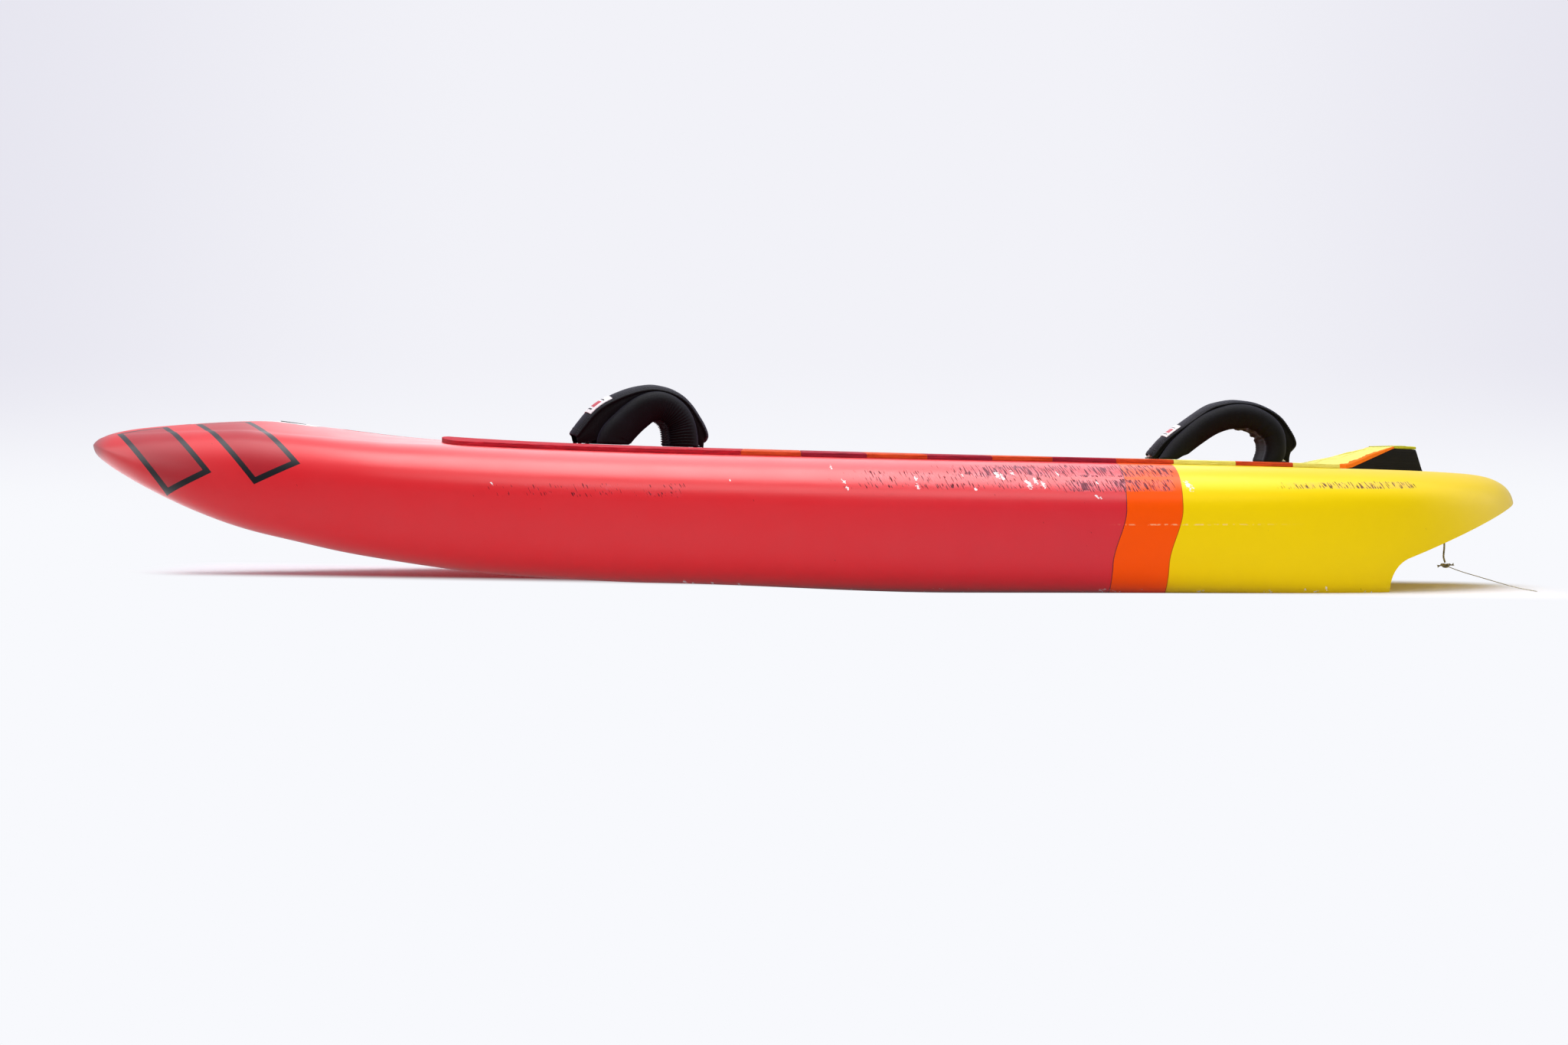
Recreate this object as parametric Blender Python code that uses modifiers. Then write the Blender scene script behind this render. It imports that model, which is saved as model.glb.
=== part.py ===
"""Compact moulded sandwich board for windsurfing on a foil, 1.82 m long, as separate pieces.

Metres. The nose points to -X, the tail to +X, port is -Y, and the flat bottom lies on z = 0.
The hull is a loft through stations along its length. Its skins, core, deck pad and kick are all cut
from that one loft, grown or shrunk, so a change of shape or size carries through to each of them.
"""

import math

import bmesh
import bpy
from mathutils import Matrix, Vector

# Hull
BOARD_LENGTH = 1.82
BOARD_WIDTH = 0.64
DECK_HEIGHT = 0.162  # deck over the floor, amidships
NOSE_LIFT = DECK_HEIGHT + 0.005  # keel over the floor, at the nose
V_DEPTH = 0.012  # how far the bottom edge rises above the keel in the V forward of amidships
CROWN_DEPTH = 0.004
RAIL_WIDTH = 0.085  # from the widest line in to the flat of the deck
RAIL_NARROWING = 0.6  # 0 keeps the rails as wide at the ends as amidships, 1 narrows them with the plan
RAIL_SHARE_MAX = 0.7
RAIL_TUCK = 0.055  # from the widest line in to the bottom edge
SKIN = 0.0035
CUTAWAY_LENGTH = 0.2125
CUTAWAY_STEP = 0.0325
CUTAWAY_SLOPE = 0.35
CUTAWAY_RADIUS = 0.018
NOSE_X = -BOARD_LENGTH / 2
TAIL_X = BOARD_LENGTH / 2
HALF_WIDTH = BOARD_WIDTH / 2
STEP_X = TAIL_X - CUTAWAY_LENGTH

# Shape of the hull along its length, from nose (0) to tail (1), as shares of the sizes above
PLAN = (
    (0, 0.044), (0.0055, 0.155), (0.0165, 0.265), (0.0385, 0.395), (0.066, 0.515), (0.11, 0.656),
    (0.165, 0.778), (0.23, 0.878), (0.33, 0.96), (0.44, 0.994), (0.52, 1), (0.615, 0.997),
    (0.725, 0.981), (0.802, 0.953), (0.857, 0.906), (0.896, 0.838), (0.929, 0.734), (0.956, 0.61),
    (0.975, 0.494), (0.989, 0.38), (0.9956, 0.285), (1, 0.17),
)
KEEL = (
    (0, 1.01), (0.0174, 0.913), (0.03, 0.844), (0.057, 0.706), (0.0946, 0.536), (0.13, 0.404), (0.164, 0.311),
    (0.196, 0.228), (0.228, 0.165), (0.259, 0.111), (0.292, 0.063), (0.341, 0.024), (0.407, 0), (1, 0),
)
VEE = (
    (0, 0), (0.05, 0.1), (0.095, 0.25), (0.13, 0.42), (0.196, 0.75), (0.341, 1), (0.407, 0.92), (0.6, 0),
    (1, 0),
)
DECK = (
    (0, 1.1), (0.011, 1.173), (0.042, 1.228), (0.124, 1.278), (0.157, 1.235), (0.2385, 1.13), (0.353, 1.059),
    (0.531, 1), (0.827, 0.914), (0.953, 0.862), (0.977, 0.825), (0.991, 0.76), (1, 0.69),
)
CROWN = (
    (0, 0.5), (0.05, 2.5), (0.12, 3.5), (0.2, 2.2), (0.29, 1), (0.5, 0.75), (0.7, 0.3), (0.85, 0.1), (1, 0.1),
)
APEX = (
    (0, 0.5), (0.0385, 0.43), (0.11, 0.48), (0.165, 0.52), (0.23, 0.58), (0.33, 0.61), (0.714, 0.62),
    (0.88, 0.68), (1, 0.75),
)
TUCK = (
    (0, 0.18), (0.055, 0.55), (0.165, 0.82), (0.33, 1), (0.5, 1), (0.66, 0.84), (0.77, 0.58), (0.88, 0.29),
    (1, 0.22),
)
STATIONS = 32
SEAM_SHARE = 0.85  # height of the mould seam, from the bottom edge (0) to the widest line (1)
SEAM_RISE = 0.83  # where along the hull the seam starts to rise to the tail's edge
SEAM_TO_ROOF = 0.002

# Clearances
GAP = 0.0003
FIT = 0.0004

# Deck pad and kick
PAD_THICKNESS = 0.005
PAD_INSET = 0.078
PAD_FRONT_X = NOSE_X + 0.458
PAD_FRONT_ROUND = 0.06
PAD_REAR_X = TAIL_X - 0.259
PAD_TIP_HALF = 0.004
STRIPES = (
    ("yellow_2", 0.059), ("vermilion", 0.070), ("yellow_1", 0.075), ("orange_4", 0.069), ("crimson_3", 0.076),
    ("orange_3", 0.072), ("crimson_2", 0.077), ("orange_2", 0.072), ("crimson_1", 0.078), ("orange_1", 0.072),
)
KICK_HALF_WIDTH = 0.06
KICK_CENTRE_HALF = 0.034
KICK_HEIGHT = 0.0276
KICK_LIP = 0.0015
KICK_TOE = 0.008  # how far the slope's strips run forward of the wedge
KICK_FRONT_X = PAD_REAR_X + KICK_TOE + 0.002
KICK_SLOPE = 0.0975
KICK_TOP = 0.028
KICK_BACK = 0.0095
KICK_FRONT_SWEEP = 0.0444  # how far the wedge's foot moves aft from the middle to the sides

# Screws, their plugs and their washers
SCREW_RADIUS = 0.0028
SCREW_HEAD_RADIUS = 0.0055
SCREW_HEAD_HEIGHT = 0.0034
SCREW_LENGTH = 0.026
WASHER_RADIUS = 0.0078
WASHER_THICKNESS = 0.0015
PLUG_RADIUS = 0.010
PLUG_LENGTH = 0.026
PLUG_FLOOR = 0.003

# Footstraps
STRAP_ROLL = 0.0125
STRAP_WIDTH = 0.084
STRAP_REACH = 0.07  # from the middle of a strap to where its feet stand on the pad
# (x, z) over the pad, from the fore foot to the aft foot: the middle of the rolls, and the cover's crown
FRONT_ROLL_LINE = (
    (-0.0448, 0), (-0.0425, 0.0099), (-0.0365, 0.0195), (-0.0264, 0.0305), (-0.0141, 0.0418),
    (0.0016, 0.0528), (0.0169, 0.0577), (0.0307, 0.0564), (0.0428, 0.0500), (0.0529, 0.0396),
    (0.0595, 0.0255), (0.0636, 0),
)
REAR_ROLL_LINE = (
    (-0.0733, 0), (-0.0507, 0.0249), (-0.0232, 0.0482), (0.0011, 0.0592), (0.0208, 0.0612),
    (0.0372, 0.0577), (0.0536, 0.0482), (0.0638, 0.0344), (0.0660, 0.0151), (0.0612, 0),
)
FRONT_CROWN_LINE = (
    (-0.0884, 0.0130), (-0.0777, 0.0282), (-0.0653, 0.0434), (-0.0515, 0.0554), (-0.0311, 0.0667),
    (-0.0137, 0.0738), (0.0032, 0.0784), (0.0201, 0.0797), (0.0392, 0.0763), (0.0565, 0.0684),
    (0.0702, 0.0565), (0.0830, 0.0391), (0.0911, 0.0253), (0.0939, 0.0148), (0.0905, 0.0063),
)
REAR_CROWN_LINE = (
    (-0.0967, 0.0075), (-0.0785, 0.0282), (-0.0527, 0.0487), (-0.0253, 0.0690), (-0.0082, 0.0762),
    (0.0142, 0.0799), (0.0399, 0.0771), (0.0605, 0.0693), (0.0759, 0.0586), (0.0879, 0.0435),
    (0.0948, 0.0310), (0.0958, 0.0216), (0.0889, 0.0118),
)
FRONT_STRAP_X = PAD_FRONT_X + 0.2424
FRONT_STRAP_TURN = math.radians(14)
REAR_STRAP_X = PAD_REAR_X - 0.102
WEBBING_WIDTH = 0.030
WEBBING_THICKNESS = 0.002
WEBBING_BEND = 0.003
WEBBING_RISE = 0.008  # where the webbing leaves the rolls' line for its feet
WEBBING_TAB = 0.0155
CHANNEL_OUTER = 0.0015  # the padding between the rolls, from the rolls' centre line out
CHANNEL_INNER = 0.0112
COVER_WIDTH = 0.062
COVER_THICKNESS = 0.0025
FRONT_COVER_DROOP = 0.005  # how far the cover's long edges lie under its crown
REAR_COVER_DROOP = 0.0032
FORE_END_DROOP = 0.0072
FORE_END_SHARE = 0.2
COVER_END_SHARE = 0.72  # the cover's width at its ends, as a share of its width on top
RIBS = 17

# Mast track
MAST_X = NOSE_X + 0.385
MAST_BOX = (0.130, 0.034, 0.038)
MAST_SLOT = (0.100, 0.011, 0.014)
MAST_TEE = (0.100, 0.019, 0.008)
MAST_WINDOW_LENGTH = 0.020

# Foil tracks and the block that holds them
TRACK_REAR_X = STEP_X - 0.0425
TRACK_SPACING = 0.090
TRACK_BOX = (0.280, 0.024, 0.027)
TRACK_SLOT = (0.250, 0.010, 0.012)
TRACK_TEE = (0.250, 0.0165, 0.007)
TRACK_WINDOW_LENGTH = 0.022
BLOCK_MARGIN = 0.018
BLOCK_HEIGHT = 0.050

# Vent
VENT_X = NOSE_X + 0.255
VENT_RADIUS = 0.0125
VENT_FLANGE_RADIUS = 0.0165
VENT_FLANGE = 0.0018
VENT_LENGTH = 0.022
VENT_BORE = 0.0043
VENT_HEAD_RADIUS = 0.0088
VENT_HEAD = 0.0024
VENT_SEAT = 0.0045
VENT_SCREW_LENGTH = 0.016
COIN_SLOT = (0.013, 0.0018, 0.0012)
ORING_WIRE = 0.0009

# Leash plug and the line tied to it
LEASH_X = TAIL_X - 0.069
CUP_RADIUS = 0.0145
CUP_WALL = 0.0028
CUP_DEPTH = 0.017
PIN_RADIUS = 0.0018
PIN_DEPTH = 0.006
LINE_RADIUS = 0.00125
TAIL_LINE_RADIUS = 0.0005
# Routes of the line and its tail, and the knot's centre, from the floor under the leash plug
UNDER_LEASH = Vector((LEASH_X, 0, 0))
LINE_ROUTE = (
    (-0.0020, 0, 0.0862), (-0.0016, 0, 0.074), (-0.0004, -0.001, 0.058), (0.0002, -0.003, 0.045),
    (-0.0018, -0.007, 0.031), (-0.0010, -0.0105, 0.0233),
)
KNOT_CENTRE = (-0.0005, -0.0115, 0.0195)
KNOT_SIZE = (0.024, 0.008, 0.0068)
TAIL_LINE_ROUTE = (
    (0.0031, -0.0148, 0.0175), (0.0105, -0.042, 0.0130), (0.0190, -0.090, 0.0085),
    (0.0250, -0.145, 0.0045), (0.0290, -0.200, 0.0016), (0.0330, -0.255, 0.0008),
)


class Fair:
    """A smooth curve through a few points, which never overshoots between them."""

    def __init__(self, points):
        self.points = points
        runs = [b[0] - a[0] for a, b in zip(points, points[1:])]
        rises = [(b[1] - a[1]) / run for a, b, run in zip(points, points[1:], runs)]
        self.slopes = [rises[0]]
        for run, next_run, rise, next_rise in zip(runs, runs[1:], rises, rises[1:]):
            if rise * next_rise <= 0:
                self.slopes.append(0.0)
                continue
            first, second = 2 * next_run + run, next_run + 2 * run
            self.slopes.append((first + second) / (first / rise + second / next_rise))
        self.slopes.append(rises[-1])

    def __call__(self, at):
        last = len(self.points) - 2
        i = 0
        while i < last and at > self.points[i + 1][0]:
            i += 1
        (x0, y0), (x1, y1) = self.points[i : i + 2]
        run = x1 - x0
        t = min(max((at - x0) / run, 0.0), 1.0)
        return (
            (1 + 2 * t) * (1 - t) ** 2 * y0
            + t * (1 - t) ** 2 * run * self.slopes[i]
            + t * t * (3 - 2 * t) * y1
            + t * t * (t - 1) * run * self.slopes[i + 1]
        )


plan, keel, vee, deck, crown, apex, tuck = (Fair(p) for p in (PLAN, KEEL, VEE, DECK, CROWN, APEX, TUCK))


def along(x):
    """Share of the length from the nose."""
    return (x - NOSE_X) / BOARD_LENGTH


def half_width(x):
    return HALF_WIDTH * plan(along(x))


def shoulder_y(x):
    """Half the width of the deck's flat, inside the rails."""
    half = half_width(x)
    return half - min(RAIL_WIDTH * plan(along(x)) ** RAIL_NARROWING, half * RAIL_SHARE_MAX)


def deck_z(x, y=0.0):
    share = along(x)
    return DECK_HEIGHT * deck(share) - CROWN_DEPTH * crown(share) * (y / shoulder_y(x)) ** 2


def bottom_edge_z(x):
    share = along(x)
    return NOSE_LIFT * keel(share) + V_DEPTH * vee(share)


def apex_z(x):
    low = bottom_edge_z(x)
    return low + (deck_z(x) - low) * apex(along(x))


def bezier(corners, steps):
    """Points of a cubic through its first and last corner, without the first."""
    found = []
    for i in range(1, steps + 1):
        t = i / steps
        weights = ((1 - t) ** 3, 3 * t * (1 - t) ** 2, 3 * t * t * (1 - t), t**3)
        found.append(tuple(sum(w * c[k] for w, c in zip(weights, corners)) for k in (0, 1)))
    return found


def half_section(x):
    """(y, z) points of one half of the hull's section, from the keel out and up to the middle of the deck."""
    half, low, mid = half_width(x), bottom_edge_z(x), apex_z(x)
    keel_z = NOSE_LIFT * keel(along(x))
    edge = half - RAIL_TUCK * tuck(along(x))
    flat = shoulder_y(x)
    top = deck_z(x, flat)
    points = [(0.0, keel_z), (edge / 2, (keel_z + low) / 2), (edge, low)]
    tuck_pulls = (half - 0.25 * (half - edge), low + 0.15 * (mid - low)), (half, mid - 0.55 * (mid - low))
    points += bezier(((edge, low), *tuck_pulls, (half, mid)), 3)
    rail_pulls = (half, mid + 0.62 * (top - mid)), (half - 0.45 * (half - flat), top)
    points += bezier(((half, mid), *rail_pulls, (flat, top)), 5)
    points += [(flat * k / 3, deck_z(x, flat * k / 3)) for k in (2, 1, 0)]
    return points


def roof_z(x):
    """Height of the cutaway's roof, run on to the step's face."""
    return CUTAWAY_STEP + CUTAWAY_SLOPE * (x - STEP_X)


def seam_z(x):
    low = bottom_edge_z(x)
    rail = low + SEAM_SHARE * (apex_z(x) - low)
    share = max(0.0, (along(x) - SEAM_RISE) / (1 - SEAM_RISE))
    ease = share * share * (3 - 2 * share)
    return rail + ease * (roof_z(TAIL_X) + SEAM_TO_ROOF - rail)


def pad_half_width(x):
    half = half_width(x) - PAD_INSET
    left = max(0.0, 1 - (x - PAD_FRONT_X) / PAD_FRONT_ROUND)
    return half * math.sqrt(max(1 - left**2.5, 0.0))


for old in list(bpy.data.objects):
    bpy.data.objects.remove(old)


def new_collection(name):
    made = bpy.data.collections.new(name)
    bpy.context.scene.collection.children.link(made)
    return made


PARTS = new_collection("windsurf_board")
CUTTERS = new_collection("cutters")


def material(name, colour, roughness, metallic=0.0):
    made = bpy.data.materials.new(name)
    made.use_nodes = True
    shader = made.node_tree.nodes["Principled BSDF"]
    shader.inputs["Base Color"].default_value = (*colour, 1)
    shader.inputs["Roughness"].default_value = roughness
    shader.inputs["Metallic"].default_value = metallic
    made.diffuse_color = (*colour, 1)
    return made


CORAL = material("coral_lacquer", (0.62, 0.03, 0.05), 0.25)
FOAM = material("white_foam", (0.85, 0.85, 0.82), 0.9)
DENSE_FOAM = material("dense_foam", (0.75, 0.68, 0.45), 0.9)
BLACK_PLASTIC = material("black_plastic", (0.02, 0.02, 0.022), 0.45)
NEOPRENE = material("neoprene", (0.018, 0.018, 0.022), 0.75)
WEBBING = material("webbing", (0.02, 0.02, 0.02), 0.8)
RUBBER = material("rubber", (0.015, 0.015, 0.015), 0.6)
STEEL = material("stainless_steel", (0.6, 0.6, 0.62), 0.25, 1.0)
CORD = material("cream_cord", (0.45, 0.42, 0.3), 0.9)
PAD_COLOURS = {
    "red": material("pad_red", (0.55, 0.02, 0.04), 0.85),
    "orange": material("pad_orange", (0.75, 0.12, 0.02), 0.85),
    "crimson": material("pad_crimson", (0.4, 0.02, 0.05), 0.85),
    "yellow": material("pad_yellow", (0.85, 0.75, 0.3), 0.85),
    "vermilion": material("pad_vermilion", (0.75, 0.07, 0.02), 0.85),
    "lime": material("pad_lime", (0.55, 0.6, 0.08), 0.85),
}


def place(obj, kind, parent=None):
    """Files a piece under its collection: a material makes it a part, and None a cutter."""
    if kind is None:
        CUTTERS.objects.link(obj)
        obj.hide_render = True
        obj.display_type = "WIRE"
    else:
        PARTS.objects.link(obj)
        obj.data.materials.append(kind)
    obj.parent = parent
    return obj


def object_of(name, bm, kind, parent=None):
    bmesh.ops.recalc_face_normals(bm, faces=bm.faces)
    mesh = bpy.data.meshes.new(name)
    bm.to_mesh(mesh)
    bm.free()
    return place(bpy.data.objects.new(name, mesh), kind, parent)


def loft(name, rings, kind, parent=None):
    """A closed solid through rings of equal length."""
    bm = bmesh.new()
    rows = [[bm.verts.new(point) for point in ring] for ring in rings]
    for row, next_row in zip(rows, rows[1:]):
        for i in range(len(row)):
            bm.faces.new((row[i - 1], row[i], next_row[i], next_row[i - 1]))
    bm.faces.new(rows[0])
    bm.faces.new(rows[-1])
    bmesh.ops.triangulate(bm, faces=bm.faces, quad_method="FIXED", ngon_method="EAR_CLIP")
    return object_of(name, bm, kind, parent)


def hull(name, grow, kind):
    """The whole hull before its cutaway, grown outwards by a distance."""
    rings = []
    for i in range(STATIONS):
        share = i / (STATIONS - 1)
        eased = 0.5 - 0.5 * math.cos(math.pi * share)
        x = NOSE_X + BOARD_LENGTH * (0.35 * share + 0.65 * eased)
        half = half_section(x)
        rings.append([(x, y, z) for y, z in half] + [(x, -y, z) for y, z in half[-2:0:-1]])
    made = loft(name, rings, kind)
    normals = [vertex.normal.copy() for vertex in made.data.vertices]
    for vertex, normal in zip(made.data.vertices, normals):
        vertex.co += normal * grow
    return made


def outline_solid(name, outline, thickness, kind, parent=None, turn=(0, 0, 0)):
    """A flat outline given thickness, as a mesh so that it can be cut or can cut."""
    curve = bpy.data.curves.new(name, "CURVE")
    curve.dimensions = "2D"
    curve.fill_mode = "BOTH"
    curve.extrude = thickness / 2
    spline = curve.splines.new("POLY")
    spline.points.add(len(outline) - 1)
    for point, (x, y) in zip(spline.points, outline):
        point.co = (x, y, 0, 1)
    spline.use_cyclic_u = True
    guide = bpy.data.objects.new(name + "_outline", curve)
    CUTTERS.objects.link(guide)
    mesh = bpy.data.meshes.new_from_object(guide.evaluated_get(bpy.context.evaluated_depsgraph_get()))
    bpy.data.objects.remove(guide)
    bm = bmesh.new()
    bm.from_mesh(mesh)
    bmesh.ops.remove_doubles(bm, verts=bm.verts, dist=1e-6)
    made = object_of(name, bm, kind, parent)
    made.rotation_euler = turn
    return made


def side_prism(name, outline):
    """A cutter right across the board, from its outline in the side view."""
    return outline_solid(name, outline, 2 * BOARD_WIDTH, None, turn=(math.pi / 2, 0, 0))


def box(name, size, centre, kind, parent=None):
    bm = bmesh.new()
    bmesh.ops.create_cube(bm, size=1, matrix=Matrix.Translation(centre) @ Matrix.Diagonal((*size, 1)))
    return object_of(name, bm, kind, parent)


def turned(name, profile, kind, parent=None, steps=14, ring=False):
    """A turned piece about its own Z, from (radius, height) points that run down its outer side."""
    mesh = bpy.data.meshes.new(name)
    edges = [(i, i + 1) for i in range(len(profile) - 1)]
    if ring:
        edges.append((len(profile) - 1, 0))
    mesh.from_pydata([(r, 0, z) for r, z in profile], edges, [])
    made = place(bpy.data.objects.new(name, mesh), kind, parent)
    screw = made.modifiers.new("turn", "SCREW")
    screw.steps = screw.render_steps = steps
    screw.use_merge_vertices = True
    screw.merge_threshold = 1e-5
    screw.use_smooth_shade = True
    return made


def rod(name, radius, bottom, top, kind, parent=None, steps=14):
    return turned(name, [(0, top), (radius, top), (radius, bottom), (0, bottom)], kind, parent, steps)


def combine(obj, other, operation="DIFFERENCE"):
    step = obj.modifiers.new(other.name, "BOOLEAN")
    step.operation = operation
    step.object = other


def cut(obj, *cutters):
    for cutter in cutters:
        combine(obj, cutter)


def grown(size, by):
    return tuple(side + 2 * by for side in size)


def frame(name, matrix):
    empty = bpy.data.objects.new(name, None)
    empty.empty_display_size = 0.03
    PARTS.objects.link(empty)
    empty.matrix_world = matrix
    return empty


def axes_matrix(origin, x_axis, z_axis):
    z_axis = z_axis.normalized()
    x_axis = (x_axis - z_axis * x_axis.dot(z_axis)).normalized()
    y_axis = z_axis.cross(x_axis)
    matrix = Matrix((x_axis, y_axis, z_axis)).transposed().to_4x4()
    matrix.translation = origin
    return matrix


def deck_normal(x, y):
    reach = 0.005
    slope_x = (deck_z(x + reach, y) - deck_z(x - reach, y)) / (2 * reach)
    slope_y = (deck_z(x, y + reach) - deck_z(x, y - reach)) / (2 * reach)
    return Vector((-slope_x, -slope_y, 1)).normalized()


def deck_frame(name, x, y=0.0):
    """An empty on the deck, its Z along the deck's normal and its X pointing aft."""
    return frame(name, axes_matrix(Vector((x, y, deck_z(x, y))), Vector((1, 0, 0)), deck_normal(x, y)))


def cutaway(name, grow):
    """The wedge of space under the tail, with the fillet at the top of its step, grown by a distance."""
    slope = math.atan(CUTAWAY_SLOPE)
    tangent = CUTAWAY_RADIUS / math.tan((math.pi / 2 + slope) / 2)
    centre_x, centre_z = STEP_X + CUTAWAY_RADIUS, CUTAWAY_STEP - tangent
    radius = CUTAWAY_RADIUS + grow
    outline = [(STEP_X - grow, -BOARD_WIDTH / 4)]
    steps = 5
    for i in range(steps + 1):
        angle = math.pi - (math.pi / 2 - slope) * i / steps
        outline.append((centre_x + radius * math.cos(angle), centre_z + radius * math.sin(angle)))
    beyond = TAIL_X + BOARD_WIDTH / 4
    outline.append((beyond, roof_z(beyond) + grow / math.cos(slope)))
    outline.append((beyond, -BOARD_WIDTH / 4))
    return side_prism(name, outline)


def seam_prism(name, side):
    """All that lies above (+1) or below (-1) the mould seam."""
    steps = 26
    outline = []
    for i in range(steps + 1):
        x = NOSE_X + BOARD_LENGTH * i / steps
        outline.append((x, seam_z(x) + side * -GAP / 2))
    first, last = outline[0], outline[-1]
    beyond = BOARD_WIDTH / 4
    far = side * BOARD_WIDTH
    outline = [(first[0] - beyond, far), (first[0] - beyond, first[1])] + outline
    outline += [(last[0] + beyond, last[1]), (last[0] + beyond, far)]
    return side_prism(name, outline)


def build_hull():
    """Returns the deck skin, the bottom skin and the core."""
    cavity = hull("skin_cavity", -SKIN, None)
    cut(cavity, cutaway("cavity_cutaway", SKIN))
    tail_space = cutaway("tail_cutaway", 0.0)
    deck_skin = hull("deck_skin", 0.0, CORAL)
    cut(deck_skin, tail_space, cavity, seam_prism("below_seam", -1))
    bottom_skin = hull("bottom_skin", 0.0, CORAL)
    cut(bottom_skin, tail_space, cavity, seam_prism("above_seam", 1))
    core = hull("foam_core", -SKIN - GAP, FOAM)
    cut(core, cutaway("core_cutaway", SKIN + GAP))
    return deck_skin, bottom_skin, core


def build_pad(over_deck):
    """The deck pad, a red field and then crosswise strips. Returns (strip, front, rear) for each."""
    over_pad = hull("over_pad", GAP + PAD_THICKNESS, None)
    aft = PAD_REAR_X
    spans = []
    for name, length in STRIPES:
        spans.append((name, aft - length, aft))
        aft -= length
    spans.append(("red", PAD_FRONT_X, aft))
    low, high = DECK_HEIGHT * 0.7, DECK_HEIGHT * 1.5  # a height range that holds the whole deck
    made = []
    for name, front, rear in spans:
        rear -= GAP
        steps = 14 if name == "red" else 2
        stations = [front + (rear - front) * (i / steps) ** 1.6 for i in range(steps + 1)]
        side = [(x, max(pad_half_width(x), PAD_TIP_HALF)) for x in stations]
        outline = side + [(x, -y) for x, y in reversed(side)]
        strip = outline_solid("deck_pad_" + name, outline, high - low, PAD_COLOURS[name.split("_")[0]])
        strip.location.z = (high + low) / 2
        combine(strip, over_pad, "INTERSECT")
        cut(strip, over_deck)
        made.append((strip, front, rear))
    return made


def kick_lines(y):
    """(x, z) of the wedge's foot, crest front, crest back and heel at a distance off the middle."""
    foot = KICK_FRONT_X + KICK_FRONT_SWEEP * (y / KICK_HALF_WIDTH) ** 2
    crest = KICK_FRONT_X + KICK_SLOPE
    back = crest + KICK_TOP
    heel = back + KICK_BACK
    return [
        (foot, deck_z(foot, y) + KICK_LIP),
        (crest, deck_z(crest, y) + KICK_HEIGHT),
        (back, deck_z(back, y) + KICK_HEIGHT),
        (heel, deck_z(heel, y)),
    ]


def across(low, high, steps):
    return [low + (high - low) * i / steps for i in range(steps + 1)]


def build_kick(over_deck):
    """The black wedge, and its strips, which share the wedge's stations so that their facets match."""
    port = across(-KICK_HALF_WIDTH, -KICK_CENTRE_HALF - GAP, 5)
    centre = across(-KICK_CENTRE_HALF, KICK_CENTRE_HALF, 4)
    starboard = across(KICK_CENTRE_HALF + GAP, KICK_HALF_WIDTH, 5)
    whole = port + centre + starboard
    sunk = 3 * KICK_LIP
    rings = []
    for y in whole:
        foot, crest, back, heel = kick_lines(y)
        roots = (foot[0], foot[1] - sunk), (heel[0], heel[1] - sunk)
        rings.append([(x, y, z) for x, z in (roots[0], foot, crest, back, heel, roots[1])])
    cut(loft("kick_wedge", rings, BLACK_PLASTIC), over_deck)

    def slope_strip(name, stations, colour):
        rings = []
        for y in stations:
            foot, crest = kick_lines(y)[:2]
            toe = (foot[0] - KICK_TOE, deck_z(foot[0] - KICK_TOE, y) + GAP)
            lower = [toe, (foot[0], foot[1] + GAP), (crest[0], crest[1] + GAP)]
            upper = [(x, z + PAD_THICKNESS) for x, z in reversed(lower)]
            rings.append([(x, y, z) for x, z in lower + upper])
        cut(loft(name, rings, PAD_COLOURS[colour]), over_deck)

    slope_strip("kick_slope_port", port, "orange")
    slope_strip("kick_slope_centre", centre, "yellow")
    slope_strip("kick_slope_starboard", starboard, "orange")
    rings = []
    for y in whole:
        crest, back = kick_lines(y)[1:3]
        lower = [(crest[0] + GAP, crest[1] + GAP), (back[0], back[1] + GAP)]
        upper = [(x, z + PAD_THICKNESS) for x, z in reversed(lower)]
        rings.append([(x, y, z) for x, z in lower + upper])
    loft("kick_top", rings, PAD_COLOURS["lime"])


def slot_cutters(name, slot, tee, window, depth_sign, parent):
    """A T slot from a face at z = 0: the slot, the T behind it and the window that lets a nut in."""
    sunk = 0.002
    slot_z = depth_sign * (slot[2] - sunk) / 2
    tee_z = depth_sign * (slot[2] + tee[2] / 2 - GAP)
    window_depth = slot[2] + tee[2]
    window_z = depth_sign * (window_depth / 2 - sunk)
    return [
        box(name + "_slot", (slot[0], slot[1], slot[2] + sunk), (0, 0, slot_z), None, parent),
        box(name + "_tee", tee, (0, 0, tee_z), None, parent),
        box(name + "_window", (window, tee[1] + GAP, window_depth), (0, 0, window_z), None, parent),
    ]


def build_mast_track(deck_skin, core):
    base = deck_frame("mast_track_frame", MAST_X)
    length, width, depth = MAST_BOX
    body = box("mast_track_box", MAST_BOX, (0, 0, -depth / 2), BLACK_PLASTIC, base)
    cut(body, *slot_cutters("mast", MAST_SLOT, MAST_TEE, MAST_WINDOW_LENGTH, -1, base))
    over = 0.01
    pocket_size = grown((length, width, depth + over), GAP)
    pocket = box("mast_pocket", pocket_size, (0, 0, (over - depth) / 2), None, base)
    cut(deck_skin, pocket)
    cut(core, pocket)


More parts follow.
